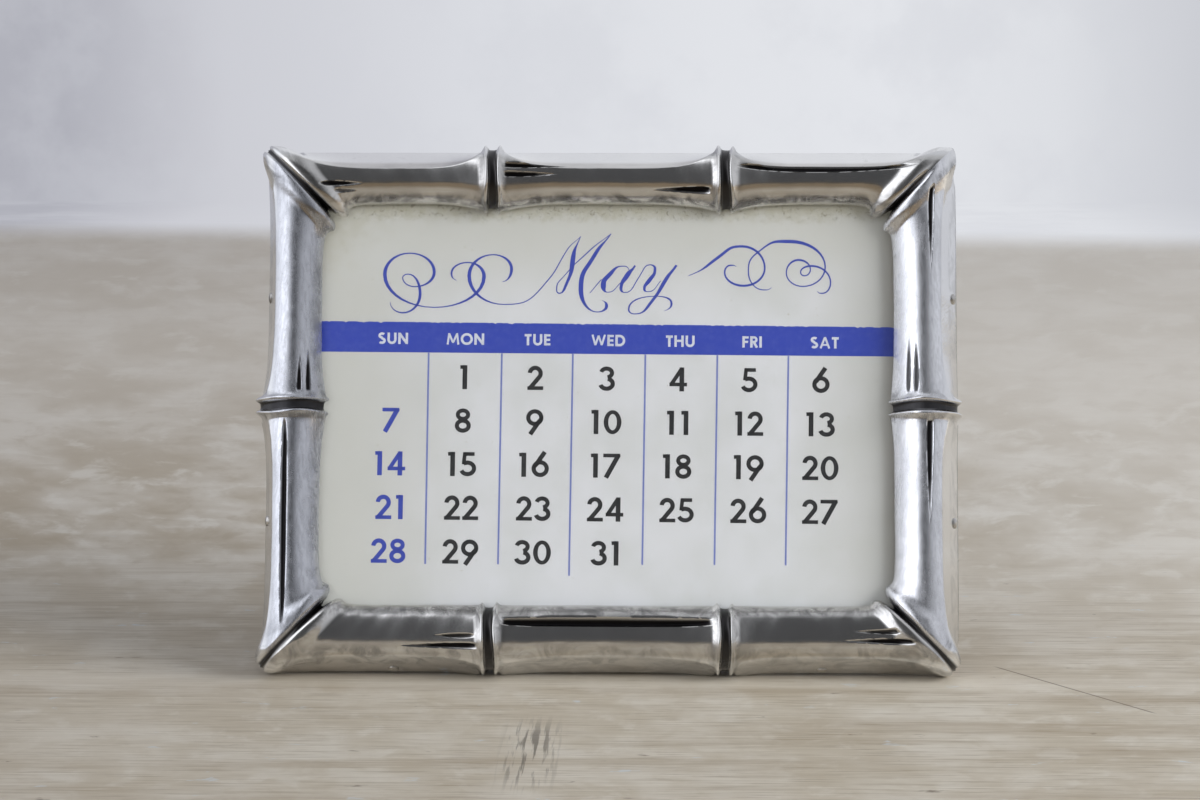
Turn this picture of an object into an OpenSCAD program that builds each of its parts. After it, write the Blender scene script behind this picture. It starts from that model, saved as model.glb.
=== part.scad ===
// Perpetual desk calendar: a silver frame in the form of four mitred bamboo canes, a glass pane,
// a wooden card well that is open at the top, two sets of loose cards and a hinged easel strut.
// The frame is modelled upright, with X to the right, Z up and its front towards -Y, and its rim's
// back edge in the plane Y = 0. stand() then leans it back and sets it on the desk at Z = 0.

/* [Stance] */
// Angle in degrees that the frame leans back
lean = 13.5; // [10:0.5:16]
// Angle in degrees between the strut and the back when the strut is open
strut_open = 30; // [26:1:34]
// How much the lowest nodes are worn flat where they stand
foot_wear = 0.15; // [0.05:0.05:0.3]

/* [Frame] */
// Width over the rings of the side canes
frame_w = 103.2; // [96:0.2:130]
// Height over the rings of the top and bottom canes
frame_h = 78.4; // [74:0.2:100]
// Depth from the front of the rings to the back edge of the rim
rim_depth = 10; // [9:0.1:13]
// Thickness of the silver at the rim
rim_wall = 1; // [0.6:0.1:1.4]

/* [Canes] */
// Radius over the lips of a ring
lip_r = 5.3; // [4.9:0.1:5.8]
// Radius at the bottom of a ring's groove
groove_r = 4.7; // [4.5:0.1:4.8]
// Radius at the flared end of a cane
end_r = 4.95; // [4.85:0.05:5.2]
// Radius at the waist of a cane
waist_r = 4.1; // [3.7:0.1:4.4]
// How suddenly a cane flares towards its ends
flare_power = 2.6; // [2:0.1:4]
// Distance from a corner of the centre lines at which the last cane is fully flared
corner_run = 2; // [1:0.1:3]
// Width of a ring's groove
groove_w = 1.5; // [1:0.1:2]
// Width of each lip beside a groove
lip_w = 0.65; // [0.4:0.05:1]
// Width of an incised leaf scar
scar_w = 0.9; // [0.6:0.1:1.2]
// Depth of an incised leaf scar
scar_depth = 0.45; // [0.2:0.05:0.7]

/* [Glass and cards] */
// Depth of the glass behind the front of the rings
glass_depth = 4.2; // [3.6:0.1:4.6]
// Thickness of the glass
glass_t = 1.2; // [0.8:0.1:1.6]
// How far a month card reaches up behind the top cane
card_tuck = 1.95; // [1:0.05:2.5]
// Height of the month's name, which shows above a date card
name_h = 19.5; // [14:0.5:28]
// Thickness of a card
card_t = 0.25; // [0.2:0.01:0.3]
// Air between two cards of the pack
card_gap = 0.05; // [0.03:0.01:0.08]
// Radius of a card's corners
card_corner = 1.5; // [0.5:0.1:3]
// Spare month cards, each printed on both sides
spare_months = 5; // [1:1:5]
// Spare date cards, each printed on both sides
spare_dates = 13; // [1:1:13]
// Play of the pack at each side and behind it
card_play = 0.3; // [0.2:0.05:0.5]

/* [Wooden well] */
// Width of the strips at the sides of the cards
strip_w = 4.55; // [3.5:0.05:6]
// Height of the strip under the cards
sill_h = 5.1; // [4:0.1:6]
// Thickness of the back panel
panel_t = 3.2; // [2.6:0.1:4]
// Gap between the woodwork and the silver
wood_fit = 0.1; // [0.05:0.05:0.2]
// Width of the thumb notch
notch_w = 22; // [16:1:30]
// Depth of the thumb notch below the top of the panel
notch_h = 14; // [12:1:15]
// Radius of the panel's corners, seen from behind
panel_corner = 2; // [1:0.5:4]
// Chamfer along the rear edges of the panel and of the strut
wood_chamfer = 0.6; // [0.2:0.1:0.8]

/* [Rim pins] */
// Radius of a rim pin's shank
pin_r = 0.4; // [0.3:0.05:0.6]
// Length of a rim pin
pin_l = 4; // [3:0.5:4.5]
// Radius of a rim pin's head
pin_head_r = 0.8; // [0.6:0.1:1.1]
// Height of a rim pin's head
pin_head_h = 0.35; // [0.2:0.05:0.5]
// Distance of the rim pins from the back edge of the rim
pin_inset = 2; // [1.2:0.1:3]

/* [Easel] */
// Wood between the thumb notch and the hinge
hinge_drop = 1.9; // [1:0.1:4]
// Width of the hinge
hinge_w = 24; // [18:1:30]
// Width of the moving leaf's knuckle
knuckle_w = 9; // [6:0.5:12]
// Radius of the hinge's knuckles
knuckle_r = 1.5; // [1.3:0.1:2]
// Thickness of both hinge leaves
leaf_t = 0.7; // [0.5:0.1:0.8]
// Height of the fixed leaf above the hinge line
leaf_h = 9; // [7:0.5:10]
// Length of the moving leaf below the hinge line
tail_h = 14; // [10:0.5:18]
// Height of the heel that stops the strut when it is open
heel_h = 5; // [3.5:0.5:6]
// Radius of the hinge pin
hinge_pin_r = 0.6; // [0.4:0.05:0.8]
// Radial play of the hinge pin in the moving knuckle
pin_play = 0.05; // [0.02:0.01:0.08]
// Gap between neighbouring knuckles, and around the heel
knuckle_gap = 0.3; // [0.2:0.05:0.5]
// Thickness of the strut
strut_t = 2.2; // [1.8:0.1:3]
// Width of the strut at the hinge
strut_top_w = 28; // [22:1:34]
// Width of the strut at the desk
strut_foot_w = 19; // [12:1:26]
// Radius of the shanks of the hinge's screws
screw_r = 0.55; // [0.4:0.05:0.7]
// Radius of the heads of the hinge's screws
screw_head_r = 1.05; // [0.9:0.05:1.3]
// Length of the hinge's screws below their leaf
screw_l = 1.4; // [1:0.1:1.6]
// Width of the slots in the heads of the hinge's screws
slot_w = 0.3; // [0.2:0.05:0.4]
// Depth of those slots
slot_d = 0.25; // [0.15:0.05:0.35]

/* [Hidden] */
$fn = 64;
// Reach of the cutting shapes, larger than any piece
far = 200;
// Slight overlap of a cutting shape past the face that it opens
past = 1;
// Straight steps along the flare of one cane
cane_steps = 14;
// Radial air around a screw or pin that sits in its hole
seat_air = 0.03;
// Turn from one screw's slot to the next one's
slot_turn = 55;

// Centre lines of the canes, measured from the middle of the frame
line_x = frame_w / 2 - lip_r;
line_z = frame_h / 2 - lip_r;
// Depth plane of the canes' centre lines
line_y = -(rim_depth - lip_r);
half_ring = groove_w / 2 + lip_w;
mid_lip = (groove_w + lip_w) / 2;
// The two rings of the top and of the bottom side divide its width in three
ring_at = frame_w / 6;
// The rim pins sit at the waists of the canes
pin_rise = (line_z - corner_run + half_ring) / 2;
pin_reach = (line_x - corner_run + ring_at + half_ring) / 2;

// Cavity inside the rim
cavity_x = line_x + waist_r - rim_wall;
cavity_z = line_z + waist_r - rim_wall;
glass_front = -rim_depth + glass_depth;
glass_back = glass_front + glass_t;

// Card pack, from the glass backwards
card_pitch = card_t + card_gap;
date_y = glass_back + card_gap;
month_y = date_y + card_pitch;
spare_dates_y = month_y + card_pitch;
spare_months_y = spare_dates_y + spare_dates * card_pitch;
well_back = spare_months_y + spare_months * card_pitch - card_gap + card_play;
panel_back = well_back + panel_t;
wood_x = cavity_x - wood_fit;
wood_z = cavity_z - wood_fit;
well_x = wood_x - strip_w;
card_w = 2 * (well_x - card_play);
card_bottom = -wood_z + sill_h + card_gap;
card_h = line_z - waist_r + card_tuck - card_bottom;
date_card_h = card_h - name_h;

// Easel
hinge_z = wood_z - notch_h - hinge_drop - leaf_h;
axis_y = panel_back + knuckle_r + knuckle_gap / 3;
outer_knuckle_w = (hinge_w - knuckle_w) / 2 - knuckle_gap;
strut_front = -knuckle_r + leaf_t + knuckle_gap;
strut_back = strut_front + strut_t;
strut_lean = strut_open - lean;

// Stance: height of the frame's middle above the desk, and the hinge line in desk coordinates
table_drop = (line_z + lip_r) * cos(lean) - foot_wear;
axis_desk_y = axis_y * cos(lean) + hinge_z * sin(lean);
axis_desk_z = table_drop - axis_y * sin(lean) + hinge_z * cos(lean);
front_reach = line_y * cos(lean) - line_z * sin(lean) - lip_r;
back_reach = axis_desk_y + axis_desk_z * tan(strut_lean) + strut_back / cos(strut_lean);

// Leaf scars: [cane, start share, end share, angle from the crown towards the rim's outside]
top_scars = [
    [0, 0.11, 0.37, -9], [0, 0.17, 0.32, -27], [1, 0.04, 0.31, 26],
    [1, 0.04, 0.27, 3], [1, 0.71, 0.96, -25], [2, 0.04, 0.96, 22]
];
bottom_scars = [
    [0, 0.58, 0.95, 20], [0, 0.75, 0.94, 2], [1, 0.03, 0.97, -30],
    [2, 0.61, 0.98, 12], [2, 0.69, 0.95, -6]
];
left_scars = [[1, 0.04, 0.17, -15], [1, 0.04, 0.21, -32], [0, 0.03, 0.97, 18]];
right_scars = [[1, 0.63, 0.98, 14], [1, 0.02, 0.3, -33], [1, 0.02, 0.27, -17], [0, 0.52, 0.98, 9]];

// ---- Shared forms ----

// Leans the upright frame back and sets it on the desk, centred on the origin
module stand() {
    translate([0, -(front_reach + back_reach) / 2, table_drop])
        rotate([-lean, 0, 0])
            children();
}

// Removes what would lie below the desk
module above_desk() {
    intersection() {
        children();
        translate([-far / 2, -far / 2, 0])
            cube([far, far, far]);
    }
}

// A block given by its two corners
module block(low, high) {
    translate(low)
        cube(high - low);
}

// A round rod along X from station a to station b
module rod(a, b, r) {
    translate([a, 0, 0])
        rotate([0, 90, 0])
            cylinder(h = b - a, r = r);
}

// Extrudes a drawing in the XZ plane from depth front to depth back
module plate(front, back) {
    translate([0, back, 0])
        rotate([90, 0, 0])
            linear_extrude(back - front)
                children();
}

// A rectangle in the XZ plane with four round corners
module round_rect(x0, z0, x1, z1, r) {
    translate([x0 + r, z0])
        square([x1 - x0 - 2 * r, z1 - z0]);
    translate([x0, z0 + r])
        square([x1 - x0, z1 - z0 - 2 * r]);
    for (x = [x0 + r, x1 - r], z = [z0 + r, z1 - r])
        translate([x, z])
            circle(r);
}

// ---- Canes ----

// Radius of a cane at share t of its length
function cane_r(t) = waist_r + (end_r - waist_r) * pow(abs(2 * t - 1), flare_power);

// Profile [radius, station] of a cane from station a to station b
function cane_profile(a, b) = [
    for (i = [0 : cane_steps]) [cane_r(i / cane_steps), a + (b - a) * i / cane_steps]
];

// Profile of the ring at station s: two lips with a groove between them
function ring_profile(s) = [
    [lip_r, s - half_ring + lip_w / 3], [lip_r, s - groove_w / 2],
    [groove_r, s - groove_w / 2 + lip_w / 3], [groove_r, s + groove_w / 2 - lip_w / 3],
    [lip_r, s + groove_w / 2], [lip_r, s + half_ring - lip_w / 3]
];

// Start and end stations of each cane between the rings of one side of the frame
function cane_spans(half, rings) = [
    for (i = [0 : len(rings)]) [
        i == 0 ? corner_run - half : rings[i - 1] + half_ring,
        i == len(rings) ? half - corner_run : rings[i] - half_ring
    ]
];

// Whole profile of one side, run on past both corners
function side_profile(half, rings, spans) = concat(
    [[0, -half - 2 * lip_r], [end_r, -half - 2 * lip_r]],
    [for (i = [0 : len(rings)]) each concat(
        cane_profile(spans[i][0], spans[i][1]),
        i < len(rings) ? ring_profile(rings[i]) : []
    )],
    [[end_r, half + 2 * lip_r], [0, half + 2 * lip_r]]
);

// A bar with a half-round front and straight flanks, from its profile [radius, station]
module bar(profile) {
    difference() {
        translate([0, line_y, 0])
            rotate([0, 90, 0])
                rotate_extrude()
                    polygon(profile);
        block([-far / 2, line_y, -far / 2], [far / 2, far / 2, far / 2]);
    }
    outline = concat(
        [for (p = profile) [p[1], p[0]]],
        [for (i = [len(profile) - 1 : -1 : 0]) [profile[i][1], -profile[i][0]]]
    );
    plate(line_y, 0)
        polygon(outline);
}

// A plain bar of one radius, as long as the side it belongs to
module plain_bar(half, r) {
    run = half + 2 * lip_r;
    bar([[0, -run], [r, -run], [r, run], [0, run]]);
}

// The space between the two mitres of a side, drawn back from each mitre by gap
module mitre_space(half, gap) {
    w = 2 * lip_r;
    inner = half - w - gap * sqrt(2);
    outer = half + w - gap * sqrt(2);
    plate(-2 * rim_depth, rim_depth)
        polygon([[-inner, -w], [inner, -w], [outer, w], [-outer, w]]);
}

// A band of one radius along both mitres of a side, from gap near to gap deep
module mitre_band(half, r, near, deep) {
    intersection() {
        plain_bar(half, r);
        difference() {
            mitre_space(half, near);
            mitre_space(half, deep);
        }
    }
}

// A wheel-cut leaf scar on a cane between shares a and b of its span, deepest in its middle
module scar(span, a, b, angle) {
    cane_l = span[1] - span[0];
    mid_r = cane_r((a + b) / 2);
    rise = (cane_r(a) + cane_r(b)) / 2 - mid_r;
    wheel_r = pow((b - a) * cane_l / 2, 2) / (2 * (scar_depth + max(rise, 0)));
    translate([span[0] + cane_l * (a + b) / 2, line_y, 0])
        rotate([-angle, 0, 0])
            intersection() {
                translate([0, -(mid_r - scar_depth + wheel_r), 0])
                    cylinder(h = scar_w, r = wheel_r, center = true, $fn = 128);
                block(
                    [-(b - a) * cane_l / 2, -2 * lip_r, -scar_w],
                    [(b - a) * cane_l / 2, 0, scar_w]
                );
            }
}

// One side of the frame along X, with its outside towards +Z
module side(half, rings, scars, pins, mouth) {
    spans = cane_spans(half, rings);
    color("silver")
        difference() {
            union() {
                intersection() {
                    bar(side_profile(half, rings, spans));
                    mitre_space(half, mid_lip);
                }
                mitre_band(half, lip_r, groove_w / 2, half_ring);
                mitre_band(half, groove_r, 0, mid_lip);
            }
            block([-far / 2, glass_front, -far / 2], [far / 2, past, waist_r - rim_wall]);
            if (mouth > 0)
                block([-mouth, glass_back, 0], [mouth, past, 2 * lip_r]);
            for (s = scars)
                scar(spans[s[0]], s[1], s[2], s[3]);
            for (s = pins)
                translate([s, -pin_inset, 0])
                    cylinder(h = 2 * lip_r, r = pin_r + seat_air);
        }
}

module top_cane() {
    stand()
        translate([0, 0, line_z])
            side(line_x, [-ring_at, ring_at], top_scars, [], well_x);
}

module bottom_cane() {
    above_desk()
        stand()
            mirror([0, 0, 1])
                translate([0, 0, line_z])
                    side(line_x, [-ring_at, ring_at], bottom_scars, [-pin_reach, pin_reach], 0);
}

// The left side stands on end: its stations run upwards
module left_side(scars) {
    translate([-line_x, 0, 0])
        rotate([0, -90, 0])
            side(line_z, [0], scars, [-pin_rise, pin_rise], 0);
}

module left_cane() {
    above_desk()
        stand()
            left_side(left_scars);
}

module right_cane() {
    above_desk()
        stand()
            mirror([1, 0, 0])
                left_side(right_scars);
}

// ---- Glass, well and pins ----

module glass_pane() {
    color("lightcyan", 0.35)
        stand()
            block([-wood_x, glass_front, -wood_z], [wood_x, glass_back, wood_z]);
}

// A hole for a rim pin that enters the woodwork from the left
module pin_hole(z) {
    translate([-wood_x - past, -pin_inset, z])
        rotate([0, 90, 0])
            cylinder(h = pin_l - rim_wall - wood_fit + past + seat_air, r = pin_r + seat_air);
}

module left_side_strip() {
    difference() {
        block([-wood_x, glass_back, -wood_z], [-well_x, well_back, wood_z]);
        for (z = [-pin_rise, pin_rise])
            pin_hole(z);
    }
}

module left_strip() {
    color("sienna")
        stand()
            left_side_strip();
}

module right_strip() {
    color("sienna")
        stand()
            mirror([1, 0, 0])
                left_side_strip();
}

module bottom_strip() {
    color("sienna")
        stand()
            difference() {
                block([-well_x, glass_back, -wood_z], [well_x, well_back, card_bottom - card_gap]);
                for (x = [-pin_reach, pin_reach])
                    translate([x, -pin_inset, -wood_z - past])
                        cylinder(h = pin_l - rim_wall - wood_fit + past + seat_air, r = pin_r + seat_air);
            }
}

// Where the hinge's screws go: [x, z] on the panel and [x, distance below the hinge] on the strut
panel_screws = [for (x = [-hinge_w / 3, hinge_w / 3], z = [0.4, 0.75]) [x, hinge_z + z * leaf_h]];
strut_screws = [for (x = [-hinge_w / 3, hinge_w / 3]) [x, -0.7 * tail_h]];

// A slab with round corners, its rear edges chamfered by c
module eased_slab(half_x, half_z, front, back, r, c) {
    run_x = half_x - r;
    run_z = half_z - r;
    plate(front, back - c)
        round_rect(-half_x, -half_z, half_x, half_z, r);
    translate([-run_x, 0, 0])
        rotate([90, 0, 90])
            linear_extrude(2 * run_x)
                polygon([[back - c, -half_z], [back, c - half_z], [back, half_z - c], [back - c, half_z]]);
    translate([0, 0, -run_z])
        linear_extrude(2 * run_z)
            polygon([[-half_x, back - c], [half_x, back - c], [half_x - c, back], [c - half_x, back]]);
    for (x = [-run_x, run_x], z = [-run_z, run_z])
        translate([x, back - c, z])
            rotate([-90, 0, 0])
                cylinder(h = c, r1 = r, r2 = r - c);
}

module back_panel() {
    notch_r = notch_w / 2;
    color("saddlebrown")
        stand()
            difference() {
                eased_slab(wood_x, wood_z, well_back, panel_back, panel_corner, wood_chamfer);
                plate(well_back - past, panel_back + past) {
                    translate([-notch_r, wood_z - notch_h + notch_r])
                        square([notch_w, notch_h]);
                    translate([0, wood_z - notch_h + notch_r])
                        circle(notch_r);
                }
                for (p = panel_screws)
                    translate([p[0], panel_back - screw_l - seat_air, p[1]])
                        rotate([-90, 0, 0])
                            cylinder(h = screw_l + past, r = screw_r + seat_air);
            }
}

// A round-headed pin along +Z, with its head's underside at the origin
module rim_pin() {
    translate([0, 0, -pin_l])
        cylinder(h = pin_l, r = pin_r);
    cap_r = (pow(pin_head_r, 2) + pow(pin_head_h, 2)) / (2 * pin_head_h);
    intersection() {
        translate([0, 0, pin_head_h - cap_r])
            sphere(cap_r);
        cylinder(h = pin_head_h, r = pin_head_r);
    }
}

module rim_pins() {
    seat_r = waist_r + seat_air;
    color("gainsboro")
        stand() {
            for (z = [-pin_rise, pin_rise]) {
                translate([-line_x - seat_r, -pin_inset, z])
                    rotate([0, -90, 0])
                        rim_pin();
                translate([line_x + seat_r, -pin_inset, z])
                    rotate([0, 90, 0])
                        rim_pin();
            }
            for (x = [-pin_reach, pin_reach])
                translate([x, -pin_inset, -line_z - seat_r])
                    mirror([0, 0, 1])
                        rim_pin();
        }
}

// ---- Cards ----

// One card of height h that stands in the well with its front at depth y
module card(y, h) {
    plate(y, y + card_t)
        round_rect(-card_w / 2, card_bottom, card_w / 2, card_bottom + h, card_corner);
}

module date_card() {
    color("ivory")
        stand()
            card(date_y, date_card_h);
}

module month_card() {
    color("ivory")
        stand()
            card(month_y, card_h);
}

module spare_month_cards() {
    color("beige")
        stand()
            for (i = [0 : spare_months - 1])
                card(spare_months_y + i * card_pitch, card_h);
}

module spare_date_cards() {
    color("beige")
        stand()
            for (i = [0 : spare_dates - 1])
                card(spare_dates_y + i * card_pitch, date_card_h);
}

// ---- Easel ----

// Places the easel's pieces at the hinge line
module at_hinge() {
    stand()
        translate([0, axis_y, hinge_z])
            children();
}

// A countersunk screw along +Y, its flat head's face at the origin and its slot turned by turn
module screw(turn) {
    head_h = min(screw_head_r - screw_r, leaf_t - 0.1);
    rotate([90, turn, 0])
        difference() {
            union() {
                translate([0, 0, -head_h])
                    cylinder(h = head_h, r1 = screw_head_r - head_h, r2 = screw_head_r);
                translate([0, 0, -leaf_t - screw_l])
                    cylinder(h = leaf_t + screw_l - head_h, r = screw_r);
            }
            block([-screw_head_r - past, -slot_w / 2, -slot_d], [screw_head_r + past, slot_w / 2, past]);
        }
}

// The countersunk hole that takes a screw through a leaf
module screw_hole() {
    head_h = min(screw_head_r - screw_r, leaf_t - 0.1);
    rotate([90, 0, 0]) {
        translate([0, 0, -head_h])
            cylinder(h = head_h, r1 = screw_head_r - head_h + seat_air, r2 = screw_head_r + seat_air);
        cylinder(h = past, r = screw_head_r + seat_air);
        translate([0, 0, -leaf_t - past])
            cylinder(h = leaf_t + 2 * past, r = screw_r + seat_air);
    }
}

module fixed_leaf() {
    leaf_front = panel_back - axis_y;
    color("goldenrod")
        at_hinge()
            difference() {
                union() {
                    block([-hinge_w / 2, leaf_front, 0], [hinge_w / 2, leaf_front + leaf_t, leaf_h]);
                    for (side_x = [-1, 1])
                        translate([side_x * (hinge_w - outer_knuckle_w) / 2, 0, 0])
                            rod(-outer_knuckle_w / 2, outer_knuckle_w / 2, knuckle_r);
                }
                block(
                    [-knuckle_w / 2 - knuckle_gap, -far / 2, -far / 2],
                    [knuckle_w / 2 + knuckle_gap, far / 2, knuckle_r + knuckle_gap]
                );
                rod(-hinge_w, hinge_w, hinge_pin_r + seat_air);
                for (p = panel_screws)
                    translate([p[0], leaf_front + leaf_t, p[1] - hinge_z])
                        rotate([0, 0, 180])
                            screw_hole();
            }
}

module fixed_leaf_screws() {
    color("goldenrod")
        stand()
            for (i = [0 : len(panel_screws) - 1])
                translate([panel_screws[i][0], panel_back + leaf_t, panel_screws[i][1]])
                    rotate([0, 0, 180])
                        screw(slot_turn * i);
}

module hinge_pin() {
    color("darkgoldenrod")
        at_hinge()
            rod(-hinge_w / 2 - knuckle_gap, hinge_w / 2 + knuckle_gap, hinge_pin_r);
}

module moving_leaf() {
    heel_front = panel_back - axis_y + leaf_t + card_gap;
    color("goldenrod")
        at_hinge()
            difference() {
                union() {
                    rod(-knuckle_w / 2, knuckle_w / 2, knuckle_r);
                    block([-knuckle_w / 2, heel_front, 0], [knuckle_w / 2, heel_front + leaf_t, heel_h]);
                    rotate([strut_open, 0, 0]) {
                        block(
                            [-knuckle_w / 2, strut_front - leaf_t, -knuckle_r - knuckle_gap],
                            [knuckle_w / 2, strut_front, 0]
                        );
                        block(
                            [-hinge_w / 2, strut_front - leaf_t, -tail_h],
                            [hinge_w / 2, strut_front, -knuckle_r - knuckle_gap]
                        );
                    }
                }
                rod(-hinge_w, hinge_w, hinge_pin_r + pin_play);
                rotate([strut_open, 0, 0])
                    for (p = strut_screws)
                        translate([p[0], strut_front - leaf_t, p[1]])
                            screw_hole();
            }
}

module moving_leaf_screws() {
    color("goldenrod")
        at_hinge()
            rotate([strut_open, 0, 0])
                for (i = [0 : len(strut_screws) - 1])
                    translate([strut_screws[i][0], strut_front - leaf_t, strut_screws[i][1]])
                        screw(slot_turn * (i + 1));
}

module strut() {
    top = -knuckle_r - 2 * knuckle_gap;
    bottom = -axis_desk_z / cos(strut_lean) - strut_t;
    taper = atan((strut_top_w - strut_foot_w) / 2 / (top - bottom));
    edge_bar = wood_chamfer * sqrt(2);
    color("saddlebrown")
        above_desk()
            at_hinge()
                rotate([strut_open, 0, 0])
                    difference() {
                        plate(strut_front, strut_back)
                            polygon([
                                [-strut_top_w / 2, top], [strut_top_w / 2, top],
                                [strut_foot_w / 2, bottom], [-strut_foot_w / 2, bottom]
                            ]);
                        for (side_x = [-1, 1])
                            translate([side_x * strut_top_w / 2, strut_back, top])
                                rotate([0, side_x * taper, 0])
                                    rotate([0, 0, 45])
                                        translate([-edge_bar / 2, -edge_bar / 2, -far / 2])
                                            cube([edge_bar, edge_bar, far / 2 + past]);
                        for (p = strut_screws)
                            translate([p[0], strut_front - past, p[1]])
                                rotate([-90, 0, 0])
                                    cylinder(h = past + screw_l + seat_air, r = screw_r + seat_air);
                    }
}

top_cane();
bottom_cane();
left_cane();
right_cane();
glass_pane();
left_strip();
right_strip();
bottom_strip();
back_panel();
rim_pins();
date_card();
month_card();
spare_month_cards();
spare_date_cards();
fixed_leaf();
fixed_leaf_screws();
hinge_pin();
moving_leaf();
moving_leaf_screws();
strut();
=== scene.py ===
import math

import bmesh
import bpy
import numpy as np
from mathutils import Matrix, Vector


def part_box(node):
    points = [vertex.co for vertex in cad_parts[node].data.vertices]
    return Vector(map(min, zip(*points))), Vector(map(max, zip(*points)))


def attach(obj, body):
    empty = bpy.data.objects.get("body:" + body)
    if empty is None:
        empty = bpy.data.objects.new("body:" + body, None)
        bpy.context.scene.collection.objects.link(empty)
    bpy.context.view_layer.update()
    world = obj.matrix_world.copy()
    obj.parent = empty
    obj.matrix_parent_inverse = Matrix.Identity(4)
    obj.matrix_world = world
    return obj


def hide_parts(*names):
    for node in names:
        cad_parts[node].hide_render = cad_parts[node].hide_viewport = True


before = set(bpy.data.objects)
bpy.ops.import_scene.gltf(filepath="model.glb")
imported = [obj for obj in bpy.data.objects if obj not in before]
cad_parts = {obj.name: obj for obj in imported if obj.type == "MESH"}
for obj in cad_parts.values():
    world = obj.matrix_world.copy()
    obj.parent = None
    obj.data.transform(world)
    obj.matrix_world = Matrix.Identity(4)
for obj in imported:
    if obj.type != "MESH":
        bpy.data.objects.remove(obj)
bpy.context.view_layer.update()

# ---- Sizes of the frame, in millimetres, upright with its front towards -Y ----
LEAN = math.radians(13.5)
LINE_X = 46.3        # centre line of the side canes
LINE_Z = 33.9        # centre line of the top and bottom canes
LINE_Y = -4.7        # depth of every centre line
LIP_R = 5.3          # reach of the lips along the mitres
END_R = 4.95         # radius of a cane's ends
WAIST_R = 4.1        # radius of a cane's middle
HALF_RING = 1.4
RING_AT = 17.2       # rings of the long sides, from their middle
WALL_IN = 3.1        # inner face of the silver's wall
GLASS_FRONT = -5.8
GLASS_BACK = -4.6
MOUTH = 44.9         # half width of the opening that the cards pass through
CARD_T = 0.25
DATE_Y = -4.55
MONTH_Y = -4.25
CARD_BOTTOM = -31.75
CARD_HALF_W = 44.45
MONTH_TOP = 31.75


def metres(*values):
    return tuple(v / 1000.0 for v in values)


def place_of_upright_frame():
    """Where the upright frame's origin lies in the shared frame, found from the glass pane."""
    low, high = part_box("glass_pane")
    mid_y = (low[1] + high[1]) * 500.0
    mid_z = (low[2] + high[2]) * 500.0
    pane_y = (GLASS_FRONT + GLASS_BACK) / 2
    return mid_y - pane_y * math.cos(LEAN), mid_z + pane_y * math.sin(LEAN)


SHIFT_Y, SHIFT_Z = place_of_upright_frame()


def stand(points):
    """Leans points of the upright frame back and sets them on the desk, in metres."""
    p = np.asarray(points, dtype=float)
    y = p[:, 1] * math.cos(LEAN) + p[:, 2] * math.sin(LEAN) + SHIFT_Y
    z = -p[:, 1] * math.sin(LEAN) + p[:, 2] * math.cos(LEAN) + SHIFT_Z
    return np.stack([p[:, 0], y, z], axis=1) / 1000.0


# ---- Mesh helpers ----

def add_piece(name, points, faces, material, body, smooth=True, marks=None, sheet=None):
    """A piece from points of the upright frame. marks are numbers per point, sheet is a UV in mm."""
    mesh = bpy.data.meshes.new(name)
    mesh.from_pydata(stand(points).tolist(), [], faces)
    mesh.validate()
    for label, values in (marks or {}).items():
        layer = mesh.attributes.new(label, "FLOAT", "POINT")
        layer.data.foreach_set("value", np.asarray(values, dtype=np.float32))
    if sheet is not None:
        corners = np.zeros(len(mesh.loops), dtype=np.int32)
        mesh.loops.foreach_get("vertex_index", corners)
        flat = np.asarray(sheet, dtype=np.float32)[corners]
        mesh.uv_layers.new(name="Sheet").data.foreach_set("uv", flat.ravel())
    work = bmesh.new()
    work.from_mesh(mesh)
    bmesh.ops.recalc_face_normals(work, faces=work.faces)
    work.to_mesh(mesh)
    work.free()
    if smooth:
        mesh.shade_smooth()
        mesh.set_sharp_from_angle(angle=math.radians(48))
    obj = bpy.data.objects.new(name, mesh)
    bpy.context.scene.collection.objects.link(obj)
    mesh.materials.append(material)
    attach(obj, body)
    return obj


def tube_faces(rows, cols):
    """Quads of a closed tube of rows rings with cols points each, and its two end faces."""
    i, j = np.meshgrid(np.arange(rows - 1), np.arange(cols), indexing="ij")
    nxt = (j + 1) % cols
    quads = np.stack([i * cols + j, i * cols + nxt, (i + 1) * cols + nxt, (i + 1) * cols + j], axis=-1)
    ends = [list(range(cols)), list(range((rows - 1) * cols, rows * cols))]
    return quads.reshape(-1, 4).tolist() + ends


def smoothstep(low, high, x):
    t = np.clip((x - low) / (high - low), 0.0, 1.0)
    return t * t * (3 - 2 * t)


# ---- Node helpers ----

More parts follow.
